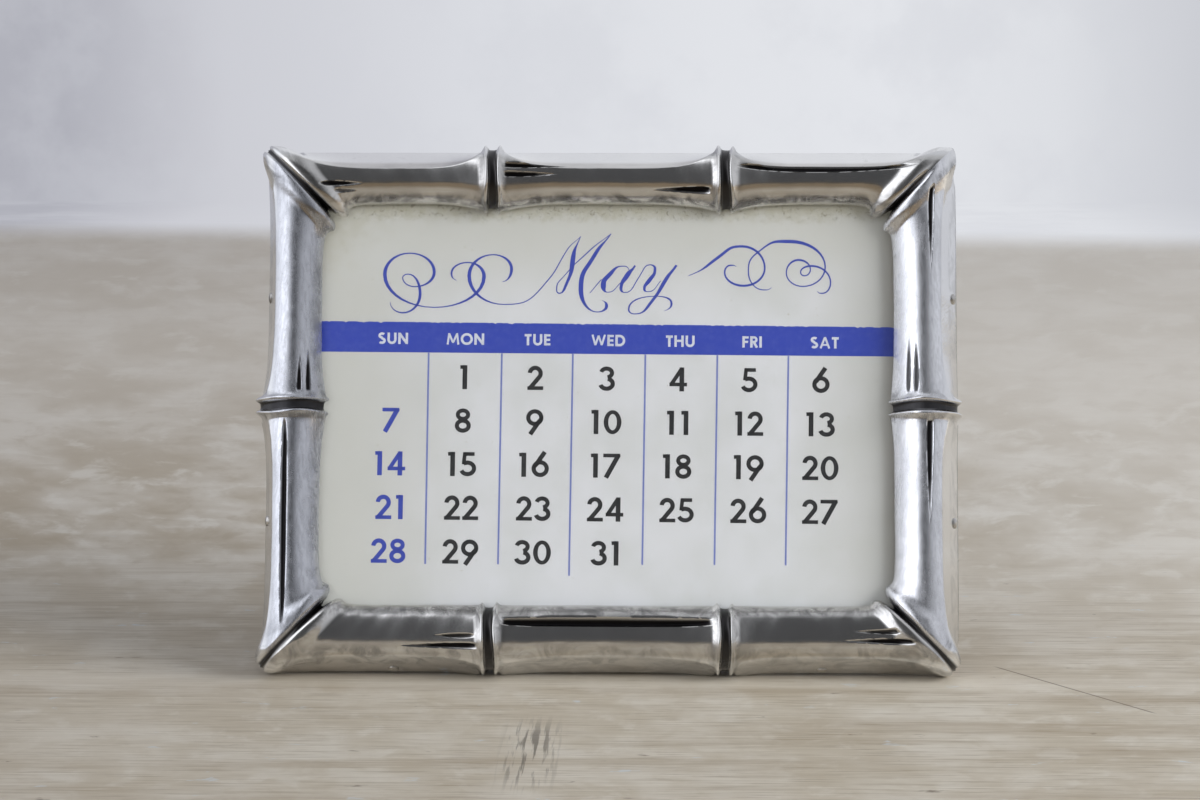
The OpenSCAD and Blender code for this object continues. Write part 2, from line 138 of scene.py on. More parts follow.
class Net:
    """A node tree that is wired by short calls."""

    def __init__(self, tree):
        self.nodes = tree.nodes
        self.links = tree.links

    def add(self, kind, **settings):
        node = self.nodes.new(kind)
        for key, value in settings.items():
            setattr(node, key, value)
        return node

    def link(self, source, target):
        self.links.new(source, target)

    def feed(self, target, value):
        if isinstance(value, bpy.types.NodeSocket):
            self.links.new(value, target)
        else:
            target.default_value = value

    def fill(self, node, **values):
        """Feeds inputs of a node by their labels, with an underscore for each space."""
        for label, value in values.items():
            self.feed(node.inputs[label.replace("_", " ")], value)
        return node

    def make(self, kind, **values):
        return self.fill(self.add(kind), **values)

    def split(self, vector):
        return self.make("ShaderNodeSeparateXYZ", Vector=vector).outputs

    def math(self, operation, a, b=0.0, c=0.0, clamp=False):
        node = self.add("ShaderNodeMath", operation=operation, use_clamp=clamp)
        for socket, value in zip(node.inputs, (a, b, c)):
            self.feed(socket, value)
        return node.outputs[0]

    def times(self, a, b):
        return self.math("MULTIPLY", a, b)

    def mix(self, share, a, b):
        """Mixes two colours. The node has sockets for other kinds as well, so these go by number."""
        node = self.add("ShaderNodeMix", data_type="RGBA")
        self.feed(node.inputs["Factor"], share)
        self.feed(node.inputs[6], a)
        self.feed(node.inputs[7], b)
        return node.outputs[2]

    def band(self, value, low, high, out_low=0.0, out_high=1.0):
        node = self.add("ShaderNodeMapRange", interpolation_type="SMOOTHSTEP")
        self.fill(node, Value=value, From_Min=low, From_Max=high, To_Min=out_low, To_Max=out_high)
        return node.outputs["Result"]

    def noise(self, vector, scale, detail, rough=0.55, warp=0.0):
        node = self.add("ShaderNodeTexNoise")
        self.fill(node, Vector=vector, Scale=scale, Detail=detail, Roughness=rough, Distortion=warp)
        return node.outputs["Fac"]

    def stretch(self, vector, scale, turn=(0.0, 0.0, 0.0)):
        return self.make("ShaderNodeMapping", Vector=vector, Rotation=turn, Scale=scale).outputs["Vector"]

    def place(self):
        return self.add("ShaderNodeTexCoord").outputs["Object"]

    def mark(self, label):
        return self.add("ShaderNodeAttribute", attribute_name=label).outputs["Fac"]

    def bump(self, height, strength, distance):
        node = self.make("ShaderNodeBump", Height=height, Strength=strength, Distance=distance)
        return node.outputs["Normal"]


def new_material(name):
    material = bpy.data.materials.new(name)
    material.use_nodes = True
    net = Net(material.node_tree)
    shader = material.node_tree.nodes["Principled BSDF"]
    return material, net, shader


def new_group(name, inputs, outputs):
    """A shader node group with named inputs and outputs, and its two end nodes."""
    tree = bpy.data.node_groups.new(name, "ShaderNodeTree")
    for label, kind, value in inputs:
        socket = tree.interface.new_socket(label, in_out="INPUT", socket_type=kind)
        if value is not None:
            socket.default_value = value
    for label, kind in outputs:
        tree.interface.new_socket(label, in_out="OUTPUT", socket_type=kind)
    net = Net(tree)
    return tree, net, net.add("NodeGroupInput"), net.add("NodeGroupOutput")


def use_group(net, tree, **values):
    return net.fill(net.add("ShaderNodeGroup", node_tree=tree), **values)


def rgb(red, green, blue):
    """A colour as a painter names it, 0 to 255, turned to the linear values nodes take."""
    def linear(c):
        c = c / 255.0
        return c / 12.92 if c <= 0.04045 else ((c + 0.055) / 1.055) ** 2.4
    return (linear(red), linear(green), linear(blue), 1.0)


def laid_over(net, colour, layers):
    """A colour with layers mixed over it, each a mask, a share and a colour as for rgb."""
    for mask, share, over in layers:
        colour = net.mix(net.times(mask, share), colour, rgb(*over))
    return colour


def show_mixed(net, share, shader, other, output="Material Output"):
    """Makes a material or a world show a mix of two shaders."""
    both = net.make("ShaderNodeMixShader", Fac=share)
    net.link(shader, both.inputs[1])
    net.link(other, both.inputs[2])
    net.link(both.outputs["Shader"], net.nodes[output].inputs["Surface"])


# ---- Shared effects ----

def make_wear_group():
    """Cloudy handling marks, hairline scratches in two directions, and the normal of both."""
    tree, net, start, end = new_group(
        "handling wear",
        [
            ("Vector", "NodeSocketVector", None),
            ("Cloud Scale", "NodeSocketFloat", 90.0),
            ("Scratch Scale", "NodeSocketFloat", 900.0),
            ("Strength", "NodeSocketFloat", 0.1),
        ],
        [("Clouds", "NodeSocketFloat"), ("Scratches", "NodeSocketFloat"), ("Normal", "NodeSocketVector")],
    )
    place = start.outputs["Vector"]
    clouds = net.noise(place, start.outputs["Cloud Scale"], 4.0, 0.5)
    lines = []
    for turn, long_way in (((0.3, 0.2, 0.5), (1.0, 0.06, 1.0)), ((-0.4, 0.5, -0.7), (0.05, 1.0, 1.0))):
        drawn_out = net.stretch(place, long_way, turn)
        lines.append(net.noise(drawn_out, start.outputs["Scratch Scale"], 2.0, 0.5))
    both = net.times(net.math("ADD", lines[0], lines[1]), 0.5)
    height = net.math("ADD", both, net.times(clouds, 1.5))
    normal = net.bump(height, start.outputs["Strength"], 0.0001)
    net.fill(end, Clouds=clouds, Scratches=both, Normal=normal)
    return tree


def make_grain_group():
    """Straight wood grain along X, with pores."""
    tree, net, start, end = new_group(
        "wood grain",
        [
            ("Vector", "NodeSocketVector", None),
            ("Light", "NodeSocketColor", (0.3, 0.14, 0.06, 1.0)),
            ("Dark", "NodeSocketColor", (0.1, 0.04, 0.02, 1.0)),
            ("Strength", "NodeSocketFloat", 0.3),
        ],
        [("Color", "NodeSocketColor"), ("Pores", "NodeSocketFloat"), ("Normal", "NodeSocketVector")],
    )
    board = net.stretch(start.outputs["Vector"], (9.0, 140.0, 140.0))
    rings = net.noise(board, 2.2, 5.0, 0.6, 0.6)
    pores = net.noise(net.stretch(start.outputs["Vector"], (60.0, 1500.0, 1500.0)), 1.0, 2.0)
    dark_pores = net.band(pores, 0.56, 0.7)
    tone = net.band(rings, 0.3, 0.72)
    colour = net.mix(tone, start.outputs["Dark"], start.outputs["Light"])
    shaded = net.mix(net.times(dark_pores, 0.6), colour, start.outputs["Dark"])
    normal = net.bump(net.math("SUBTRACT", rings, dark_pores), start.outputs["Strength"], 0.0002)
    net.fill(end, Color=shaded, Pores=dark_pores, Normal=normal)
    return tree


WEAR = make_wear_group()
GRAIN = make_grain_group()


# ---- Materials ----

def matt_to_bounced_light(net, shader, colour):
    """Lets bounced light see a metal as plain pale paint, so that it brightens what lies near it."""
    paint = net.make("ShaderNodeBsdfDiffuse", Color=colour)
    bounced = net.add("ShaderNodeLightPath").outputs["Is Diffuse Ray"]
    show_mixed(net, bounced, shader.outputs["BSDF"], paint.outputs["BSDF"])


def make_silver(name, axis, roughness, brushed, base, frost):
    """Old silver that was polished lengthwise along its cane, with tarnish where no cloth reaches and dark
    painted shade along the inner sides and outer halves.
    """
    material, net, shader = new_material(name)
    place = net.place()
    across = tuple(2600.0 if value < 0.5 else 190.0 for value in axis)
    rubbed = net.noise(net.stretch(place, across), 1.0, 4.0, 0.62)
    grains = net.noise(place, 7000.0, 2.0, 0.6)
    rubbed = net.band(net.math("MULTIPLY_ADD", grains, 0.3, rubbed), 0.5, 0.8)
    frosted = net.times(rubbed, net.math("SUBTRACT", frost, net.mark("polish"), clamp=True))
    wear = use_group(net, WEAR, Vector=place, Cloud_Scale=130.0, Scratch_Scale=1500.0, Strength=0.12)
    cut = net.mark("tarnish_and_shade")
    patches = net.noise(place, 240.0, 6.0, 0.62, 1.2)
    # Tarnish at the rings' feet and painted shade along the inner side and the outer half, broken into
    # patches.
    soot_and_shade = net.times(net.mark("soot_and_shade"), net.band(patches, 0.38, 0.64))
    spots = net.times(net.band(net.noise(place, 700.0, 4.0, 0.7), 0.6, 0.75), 0.16)
    film_and_shade = net.times(net.math("ADD", soot_and_shade, spots, clamp=True), 0.66)
    # The dark mix below lays on tarnish in cuts and this painted shade.
    tarnish_and_shade = net.math("MAXIMUM", cut, film_and_shade)
    dull = net.band(wear.outputs["Clouds"], 0.32, 0.72)
    cloudy = rgb(*[c - 17 for c in base])
    clean = net.mix(dull, rgb(*base), cloudy)
    clean = net.mix(net.times(frosted, 0.4), clean, rgb(*[c - 40 for c in base]))
    clean = net.mix(net.times(net.mark("polish"), 0.8), clean, rgb(250, 250, 250))
    satin = net.math("MULTIPLY_ADD", dull, 0.05, roughness)
    fine = net.math("MULTIPLY_ADD", wear.outputs["Scratches"], 0.08, satin)
    fine = net.math("MULTIPLY_ADD", frosted, 0.08, fine)
    fine = net.math("MULTIPLY_ADD", net.mark("polish"), -0.5 * roughness, fine)
    along = net.make("ShaderNodeCombineXYZ", X=axis[0], Y=axis[1], Z=axis[2])
    net.fill(
        shader,
        Base_Color=net.mix(tarnish_and_shade, clean, rgb(38, 36, 37)),
        Metallic=1.0,
        Roughness=net.math("MULTIPLY_ADD", tarnish_and_shade, 0.15, fine),
        Anisotropic=brushed,
        Anisotropic_Rotation=0.25,
        Tangent=along.outputs[0],
        Normal=wear.outputs["Normal"],
    )
    matt_to_bounced_light(net, shader, (0.55, 0.55, 0.55, 1.0))
    return material


def make_small_metal(name, clouds, scratches, strength, dull_from, bright, dim, roughness, more):
    """Metal of a small part: bright, with dimmer patches that are rougher by more."""
    material, net, shader = new_material(name)
    wear = use_group(
        net, WEAR, Vector=net.place(), Cloud_Scale=clouds, Scratch_Scale=scratches, Strength=strength
    )
    dull = net.band(wear.outputs["Clouds"], dull_from, 0.7)
    net.fill(
        shader,
        Base_Color=net.mix(dull, rgb(*bright), rgb(*dim)),
        Metallic=1.0,
        Roughness=net.math("MULTIPLY_ADD", dull, more, roughness),
        Normal=wear.outputs["Normal"],
    )
    return material


def make_glass():
    """Clear glass that lets lamps through to the cards behind it."""
    material, net, shader = new_material("pane glass")
    wear = use_group(net, WEAR, Vector=net.place(), Cloud_Scale=60.0, Scratch_Scale=700.0, Strength=0.01)
    smears = net.band(wear.outputs["Clouds"], 0.55, 0.8)
    tint = (0.98, 0.985, 0.985, 1.0)
    net.fill(shader, Base_Color=tint, Transmission_Weight=1.0, IOR=1.5, Roughness=net.times(smears, 0.012))
    path = net.add("ShaderNodeLightPath")
    clear = net.make("ShaderNodeBsdfTransparent", Color=tint)
    passing = net.math("MAXIMUM", path.outputs["Is Shadow Ray"], path.outputs["Is Diffuse Ray"])
    show_mixed(net, passing, shader.outputs["BSDF"], clear.outputs["BSDF"])
    return material


def age_of_card(net, sheet, colour):
    """Lays on a card's colour painted shade towards its sides and top, a painted shadow of the right rim,
    and what years in the frame add: damp stains, grime and specks; gives the blotches as well.

    Places are in mm from the middle of the frame."""
    across, up = net.split(sheet)[:2]
    blotch = net.noise(sheet, 0.55, 5.0, 0.65)
    # Painted shade: the card darker towards its right and left sides and towards its top.
    right_side = net.times(net.band(across, 24.0, 41.0), 0.7)
    shaded_sides_and_top = net.math("MAXIMUM", net.band(across, -16.0, -40.0), right_side)
    shaded_sides_and_top = net.math("MAXIMUM", shaded_sides_and_top, net.band(up, 12.0, 27.0))
    rim_shadow = net.band(across, 39.3, 42.6)
    damp_top = net.band(net.math("MULTIPLY_ADD", blotch, 4.6, up), 29.4, 32.6)
    to_corner = net.math("MULTIPLY_ADD", blotch, 14.0, net.math("SUBTRACT", up, across))
    damp_corner = net.times(net.band(to_corner, 64.0, 80.0), 0.6)
    damp = net.math("MAXIMUM", net.times(damp_top, 0.75), damp_corner)
    crumbs = net.band(net.noise(sheet, 1.3, 5.0, 0.7, 0.6), 0.52, 0.68)
    grime_and_edge_shade = net.times(net.band(up, 27.2, 29.2), crumbs)
    specks = net.band(net.noise(sheet, 1.9, 1.0), 0.745, 0.77)
    colour = laid_over(net, colour, (
        (shaded_sides_and_top, 0.8, (194, 194, 188)),
        (rim_shadow, 0.6, (142, 136, 124)),
        (damp, 1.0, (168, 163, 142)),
        (grime_and_edge_shade, 0.6, (104, 98, 84)),
        (specks, 0.35, (150, 140, 112)),
    ))
    return colour, blotch


def make_paper(name, base, aged_and_shaded):
    """Card stock with fibres; an aged and shaded one gets stains and painted shade, and needs a UV map named
    Sheet, in mm.
    """
    material, net, shader = new_material(name)
    if aged_and_shaded:
        sheet = net.add("ShaderNodeUVMap", uv_map="Sheet").outputs["UV"]
    else:
        sheet = net.stretch(net.place(), (1000.0, 1000.0, 1000.0))
    fibre = net.noise(net.stretch(sheet, (1.0, 2.2, 1.0)), 2.4, 4.0, 0.7)
    cloud = net.noise(sheet, 0.09, 4.0, 0.6)
    dim = (base[0] - 16, base[1] - 15, base[2] - 20)
    colour = laid_over(net, rgb(*base), (
        (net.band(cloud, 0.3, 0.75), 0.8, dim),
        (net.band(fibre, 0.35, 0.7), 0.34, dim),
    ))
    height = fibre
    strength = 0.1
    if aged_and_shaded:
        colour, blotch = age_of_card(net, sheet, colour)
        height = net.math("ADD", fibre, blotch)
        strength = 0.12
    net.fill(
        shader,
        Base_Color=colour,
        Roughness=net.band(fibre, 0.2, 0.8, 0.62, 0.8),
        Normal=net.bump(height, strength, 0.0001),
    )
    return material


def make_ink(name, base, worn, share):
    """Printed ink that is worn a little by its paper."""
    material, net, shader = new_material(name)
    grains = net.stretch(net.place(), (1000.0, 1000.0, 1000.0))
    mottle = net.noise(grains, 1.1, 5.0, 0.7)
    thin = net.noise(grains, 5.0, 2.0, 0.6)
    fade = net.times(net.band(mottle, 0.35, 0.8), share)
    fade = net.math("MAXIMUM", fade, net.times(net.band(thin, 0.62, 0.75), share * 1.4))
    colour = net.mix(fade, rgb(*base), rgb(*worn))
    net.fill(shader, Base_Color=colour, Roughness=net.band(mottle, 0.3, 0.7, 0.5, 0.66))
    return material


def make_wood(name, light, dark, turn, polish):
    material, net, shader = new_material(name)
    board = net.stretch(net.place(), (1.0, 1.0, 1.0), turn)
    grain = use_group(net, GRAIN, Vector=board, Light=rgb(*light), Dark=rgb(*dark), Strength=0.35)
    wear = use_group(net, WEAR, Vector=net.place(), Cloud_Scale=45.0, Scratch_Scale=600.0, Strength=0.05)
    rubbed = net.band(wear.outputs["Clouds"], 0.5, 0.8)
    paler = rgb(*[min(255, c + 26) for c in light])
    net.fill(
        shader,
        Base_Color=net.mix(net.times(rubbed, 0.35), grain.outputs["Color"], paler),
        Roughness=net.math("MULTIPLY_ADD", grain.outputs["Pores"], 0.2, polish),
        Normal=grain.outputs["Normal"],
    )
    return material


UPWARDS = (0.0, math.sin(LEAN), math.cos(LEAN))
LEVEL_SILVER = make_silver("level silver", (1.0, 0.0, 0.0), 0.1, 0.5, (226, 224, 221), 0.3)
# The left cane's silver has a darker base than the right's: painted shade, since the light falls from the
# right; it is also more frosted.
LEFT_SILVER = make_silver("left silver", UPWARDS, 0.14, 0.8, (208, 209, 214), 1.0)
RIGHT_SILVER = make_silver("right silver", UPWARDS, 0.14, 0.8, (240, 240, 243), 0.85)
PIN_SILVER = make_small_metal(
    "pin silver", 400.0, 2500.0, 0.15, 0.4, (222, 220, 216), (150, 146, 142), 0.2, 0.2
)
GLASS = make_glass()
PAPER = make_paper("card print stock", (217, 218, 223), True)
SPARE_PAPER = make_paper("spare card stock", (214, 212, 198), False)
BLUE_INK = make_ink("blue ink", (47, 66, 170), (96, 110, 186), 0.3)
SCRIPT_INK = make_ink("script ink", (52, 68, 166), (96, 108, 178), 0.3)
LINE_INK = make_ink("line ink", (108, 120, 186), (150, 158, 198), 0.4)
BLACK_INK = make_ink("black ink", (36, 36, 38), (84, 84, 84), 0.3)
BARE_PAPER = make_ink("lettering left bare", (210, 214, 224), (186, 192, 214), 0.5)
WELL_WOOD = make_wood("well wood", (128, 78, 44), (74, 38, 20), (0.0, 0.0, 0.0), 0.45)
BACK_WOOD = make_wood("back wood", (112, 62, 34), (58, 28, 16), (0.0, 0.0, 0.0), 0.38)
STRUT_WOOD = make_wood("strut wood", (112, 62, 34), (58, 28, 16), (0.0, math.radians(90), 0.0), 0.38)
BRASS = make_small_metal(
    "hinge brass", 260.0, 2200.0, 0.2, 0.35, (206, 170, 104), (158, 122, 68), 0.24, 0.22
)


# ---- Silver canes ----

# Where stations lie beside a ring or mitre, from the middle of its groove
RING_STEPS = (0.0, 0.12, 0.24, 0.36, 0.46, 0.54, 0.6, 0.66, 0.72, 0.78, 0.84, 0.9, 0.97, 1.05, 1.13, 1.2,
              1.27, 1.34)
# Radius of a ring, and of the two lips of a mitre, by distance from the middle of the groove
RING_AT_STEP = (0.0, 0.3, 0.54, 0.66, 0.78, 0.9, 1.0, 1.1, 1.2, 1.32, 1.5, 2.1)
RING_RADIUS = (4.55, 4.56, 4.64, 4.88, 5.13, 5.27, 5.3, 5.25, 5.12, 4.97, 4.88, 4.78)
MITRE_AT_STEP = (0.0, 0.2, 0.36, 0.5, 0.66, 0.84, 1.05, 1.35, 1.7, 2.1, 2.6, 3.2)
MITRE_RADIUS = (4.45, 4.5, 4.74, 4.98, 5.14, 5.22, 5.24, 5.2, 5.13, 5.05, 4.98, 4.92)
GROOVE_R = 4.5       # floor of the grooves, from which the lips rise
STATION_STEP = 0.28  # length between the stations of a plain cane
SLANT_FADE = 2.2     # how fast a mitre's slant dies away along its cane

INNER_END = 75       # first angle of the front in degrees, before it is squeezed to end at the glass
INNER_TURN = 42      # angle up to which it is squeezed
SCAR_TURN = 36       # angle up to which the angles lie close, for the scars
SHOULDER = math.radians(42)  # where a cane's round front turns into its flat flank
TOP_SHOULDER = math.radians(17)
RIGHT_SHOULDER = math.radians(36)

TOP_RIM = 5.1        # reach of each side's flank at the back edge
BOTTOM_RIM = 4.95
LEFT_RIM = 4.6
RIGHT_RIM = 5.5
MOUTH_RIM = 4.25     # reach of the top flank where the cards pass behind it
RING_RIM = 5.6       # reach of the flank beside the rings
FLANK_STEPS = np.array([[0.2, 0.42, 0.64, 0.84, 0.97, 1.0]])
EDGE_EASE = 0.12     # rounding of the back edge
CORNER_ROUND = 2.6   # rounding of the two outer corners at the top
CORNER_SWELL = 0.75  # extra reach of the canes' inner side where they meet
CORNER_LENGTH = 3.6  # how far along a cane its corner is felt

BLUNT = 0.12         # shapes of a scar's end
ROUND = 0.32
TAIL = 0.85

# Wheel-cut leaf scars: cane, start and end share of it, angle from the crown towards the rim's
# outside in degrees, half width in mm, shape of its start, shape of its end, bow in degrees
TOP_SCARS = (
    (0, 0.03, 0.29, -15, 0.42, ROUND, TAIL, 0), (0, 0.08, 0.24, -30, 0.3, ROUND, TAIL, 0),
    (1, 0.01, 0.31, 23, 0.5, BLUNT, TAIL, 0), (1, 0.01, 0.27, 4, 0.5, BLUNT, TAIL, 0),
    (1, 0.7, 0.97, -28, 0.58, TAIL, BLUNT, 0), (2, 0.02, 0.96, 22, 0.62, ROUND, 0.45, -5),
)
BOTTOM_SCARS = (
    (0, 0.55, 0.98, 17, 0.48, TAIL, BLUNT, 0), (0, 0.74, 0.97, -3, 0.4, TAIL, ROUND, 0),
    (1, 0.02, 0.98, -31, 0.78, BLUNT, BLUNT, -1), (2, 0.6, 0.98, 5, 0.46, TAIL, BLUNT, 0),
    (2, 0.68, 0.95, -14, 0.4, TAIL, BLUNT, 0),
)
LEFT_SCARS = (
    (1, 0.02, 0.2, -15, 0.44, BLUNT, TAIL, 0), (1, 0.02, 0.24, -33, 0.44, BLUNT, TAIL, 0),
    (0, 0.02, 0.97, 12, 0.52, ROUND, ROUND, 2),
)
RIGHT_SCARS = (
    (1, 0.6, 0.98, 14, 0.46, TAIL, BLUNT, 0), (1, 0.02, 0.3, -33, 0.38, ROUND, TAIL, 0),
    (1, 0.02, 0.27, -17, 0.38, ROUND, TAIL, 0), (0, 0.48, 0.98, 9, 0.54, TAIL, BLUNT, 0),
)


def cane_stations(half, rings):
    """Stations along one side: place, shear, distance from the nearest groove, cane number, share."""
    rows = []
    ends = (-half, *rings, half)
    last = len(ends) - 2
    for n, (low, high) in enumerate(zip(ends, ends[1:])):
        low_slant = -1.0 if n == 0 else 0.0
        high_slant = 1.0 if n == last else 0.0
        low_scale = math.sqrt(2) if n == 0 else 1.0
        high_scale = math.sqrt(2) if n == last else 1.0
        start = low + HALF_RING * low_scale
        stop = high - HALF_RING * high_scale
        for d in RING_STEPS:
            rows.append((low + d * low_scale, low_slant, d, n, 0.0))
        steps = int((stop - start) / STATION_STEP)
        for i in range(1, steps):
            share = i / steps
            s = start + (stop - start) * share
            shear = low_slant * (1 - share) ** SLANT_FADE + high_slant * share ** SLANT_FADE
            gap = min((s - low) / low_scale, (high - s) / high_scale)
            rows.append((s, shear, gap, n, share))
        for d in reversed(RING_STEPS if n == last else RING_STEPS[1:]):
            rows.append((high - d * high_scale, high_slant, d, n, 1.0))
    return np.array(rows)


def front_angles():
    """Angles round the half-round front, closer where the scars are."""
    inner = np.linspace(-INNER_END, -INNER_TURN, 10)
    middle = np.linspace(-INNER_TURN, SCAR_TURN, 58)[1:]
    outer = np.linspace(SCAR_TURN, 90, 15)[1:]
    return np.radians(np.concatenate([inner, middle, outer]))


def scar_cut(scar, cane, share, angle, radius):
    """Depth in mm and darkness of one wheel-cut scar at every point."""
    n, start, stop, turn, half_w, start_shape, stop_shape, bow = scar
    along = (share - start) / (stop - start)
    inside = (cane == n) & (along > 0) & (along < 1)
    u = np.clip(along, 1e-4, 1 - 1e-4)
    peak = start_shape / (start_shape + stop_shape)
    top = peak ** start_shape * (1 - peak) ** stop_shape
    width = u ** start_shape * (1 - u) ** stop_shape / top
    middle = turn + bow * (1 - (2 * u - 1) ** 2)
    across = (angle - np.radians(middle)) * radius
    hollow = np.clip(1 - (across / (half_w * np.maximum(width, 1e-3))) ** 2, 0.0, 1.0)
    dark = smoothstep(0.02, 0.7, hollow) * np.clip(width * 1.5, 0.0, 1.0) * min(1.0, (half_w / 0.42) ** 1.5)
    return np.where(inside, half_w * 0.85 * width * hollow, 0.0), np.where(inside, dark, 0.0)


def wobble(s, angle, seed):
    """The slight unevenness of hand-finished silver, in mm."""
    a = np.sin(s * 0.31 + seed * 1.7 + angle * 1.1) * 0.022
    b = np.sin(s * 0.83 + seed * 2.9 - angle * 2.3) * 0.012
    c = np.sin(s * 1.9 + seed * 4.1 + angle * 3.7) * 0.005
    return a + b + c


def rounded_corners(points):
    """Pulls the two outer corners at the top in to a round."""
    over_x = np.abs(points[:, 0]) - (LINE_X + LIP_R - CORNER_ROUND)
    over_z = points[:, 2] - (LINE_Z + LIP_R - CORNER_ROUND)
    over = np.hypot(over_x, over_z)
    outside = (over_x > 0) & (over_z > 0) & (over > CORNER_ROUND)
    pull = np.where(outside, CORNER_ROUND / np.maximum(over, 0.1), 1)
    points[:, 0] -= np.sign(points[:, 0]) * over_x * (1 - pull)
    points[:, 2] -= over_z * (1 - pull)
    return points


class CaneSide:
    """One side of the frame. Its arrays have a row for each station and a column for each angle.

    put turns (along, depth, outwards) of a side into (x, y, z) of the frame. mouth is the half
    width of the card opening, fuller thickens the inner half of the waist, flat levels the inner
    half of the front, and nose says at which end the mitre's lips are worn into one."""

    def __init__(self, half, rings, scars, put, seed, rim, mouth=0.0, fuller=0.0, flat=0.0,
                 shoulder=SHOULDER, nose=0.0):
        rows = cane_stations(half, rings)
        self.s, self.shear, self.gap, self.cane, self.share = (rows[:, i:i + 1] for i in range(5))
        self.put = put
        self.seed = seed
        self.fuller = fuller
        self.flat = flat
        self.nose = nose
        self.slant = np.abs(self.shear)
        self.near_corner = self.slant > 0.5
        self.near_end = np.abs(2 * self.share - 1)
        self.corner = np.exp(-((half - np.abs(self.s)) / CORNER_LENGTH) ** 2)
        self.low_end = (put(self.s, 0 * self.s, 0 * self.s)[2] < 0).astype(float)
        at_mitre = smoothstep(1.5, 3.3, self.gap)
        at_ring = smoothstep(1.2, 1.9, self.gap)
        self.plain = np.where(self.near_corner, at_mitre, at_ring)
        self.lay_front(scars)
        self.lay_flank_and_wall(rim, mouth, shoulder)

    def groove_spread(self, angle):
        """How far the mitre's groove opens towards the outside of the two lower corners."""
        return 1 + 0.45 * smoothstep(0.2, 1.3, angle) * self.low_end

    def worn_tip(self, angle):
        """How far the lips along the mitre are worn into one rounded nose, 0 to 1."""
        return np.where(self.s * self.nose > 0, smoothstep(-0.1, 0.55, angle), 0.0) * self.corner

    def cane_radius(self, angle):
        """Radius between the rings: a waist that flares to both ends."""
        power = 3.1 - 0.9 * np.sin(angle)
        waist = WAIST_R + self.fuller * np.clip(1.3 * np.clip(-np.sin(angle), 0, 1) ** 2, 0, 1)
        end = END_R - 0.48 * np.cos(angle) ** 2
        return waist + (end - waist) * self.near_end ** power + wobble(self.s, angle, self.seed)

    def ring_radius(self, angle):
        """Radius of the rings and of the lips along the mitres."""
        uneven = 1 + 0.1 * np.sin(angle * 3.1 + self.seed)
        ring = np.where(
            self.near_corner,
            np.interp(self.gap / self.groove_spread(angle), MITRE_AT_STEP, MITRE_RADIUS),
            np.interp(self.gap * uneven, RING_AT_STEP, RING_RADIUS),
        )
        ring = ring + 0.04 * np.sin(angle * 2.6 + self.s + self.seed) + 0.02 * np.sin(angle * 9 + self.s * 2)
        ring = ring + 0.5 * self.flat * smoothstep(0.7, 1.5, angle) * (1 - self.slant)
        ring = GROOVE_R + (ring - GROOVE_R) * (1 - 0.45 * np.cos(angle) ** 2)
        nose = 5.12 - 0.27 * np.cos(angle) ** 2 - 0.3 * np.clip(angle - 1.0, 0, 1) * (1 - self.gap / 2)
        return ring + (nose - ring) * self.worn_tip(angle)

    def radius_at(self, angle):
        ring = self.ring_radius(angle)
        inwards = np.clip(-np.sin(angle), 0, 1)
        swell = CORNER_SWELL * self.corner * inwards ** 1.5 * np.clip(self.gap / 0.5, 0.3, 1)
        return ring + (self.cane_radius(angle) - ring) * self.plain + swell

    def lay_front(self, scars):
        """The half-round front, from the glass over the crown to the outside, with its scars."""
        angles = front_angles()[None, :]
        self.full = self.radius_at(angles)
        self.reach = np.arccos((LINE_Y - GLASS_FRONT) / self.full[:, :1])
        squeeze = (self.reach - math.radians(INNER_TURN)) / math.radians(INNER_END - INNER_TURN)
        squeezed = math.radians(-INNER_TURN) + (angles + math.radians(INNER_TURN)) * squeeze
        self.turned = np.where(angles < math.radians(-INNER_TURN), squeezed, angles)
        self.cut = np.zeros_like(self.full)
        self.dark = np.zeros_like(self.full)
        for scar in scars:
            depth, shade = scar_cut(scar, self.cane, self.share, self.turned, self.full)
            self.cut = np.maximum(self.cut, depth)
            self.dark = np.maximum(self.dark, shade)
        self.front_r = self.full - self.cut
        z = self.front_r * np.sin(self.turned)
        y = LINE_Y - self.front_r * np.cos(self.turned)
        inner_z = self.full[:, :1] * np.sin(self.reach)
        level_y = LINE_Y - self.front_r + (self.full + GLASS_FRONT - LINE_Y) * (z / inner_z) ** 2
        self.front_y = y + (level_y - y) * self.flat * (1 - self.slant) * (self.turned < 0)
        self.front_z = z

    def lay_flank_and_wall(self, rim, mouth, shoulder):
        """The straight flank behind the front's shoulder, and the inside from the back to the glass."""
        open_back = (np.abs(self.s + self.shear * WALL_IN) < mouth).astype(float)
        back = GLASS_BACK * open_back
        shoulder = shoulder + (1.0 - shoulder) * self.near_end ** 5
        radius = self.radius_at(shoulder)
        shoulder_z = radius * np.sin(shoulder)
        shoulder_y = LINE_Y - radius * np.cos(shoulder)
        rim_at = rim + (np.where(self.near_corner, LIP_R, RING_RIM) - rim) * self.near_end ** 4.5
        slope = (np.where(open_back > 0, MOUTH_RIM, rim_at) - shoulder_z) / (back - shoulder_y)
        past = np.clip((self.turned - shoulder) / (math.pi / 2 - shoulder), 0, 1)
        y = shoulder_y + (LINE_Y - shoulder_y) * past
        z = shoulder_z + slope * (y - shoulder_y)
        sloped = self.plain * (self.turned > shoulder)
        self.front_z = self.front_z + (z - 0.7 * self.cut - self.front_z) * sloped
        self.front_y = self.front_y + (y + 0.7 * self.cut - self.front_y) * sloped

        outer = self.full[:, -1:]
        self.flank_y = LINE_Y + (back - LINE_Y) * FLANK_STEPS
        z = shoulder_z + slope * (self.flank_y - shoulder_y)
        self.flank_z = outer + (z - outer) * self.plain
        self.flank_z[:, -1] -= EDGE_EASE

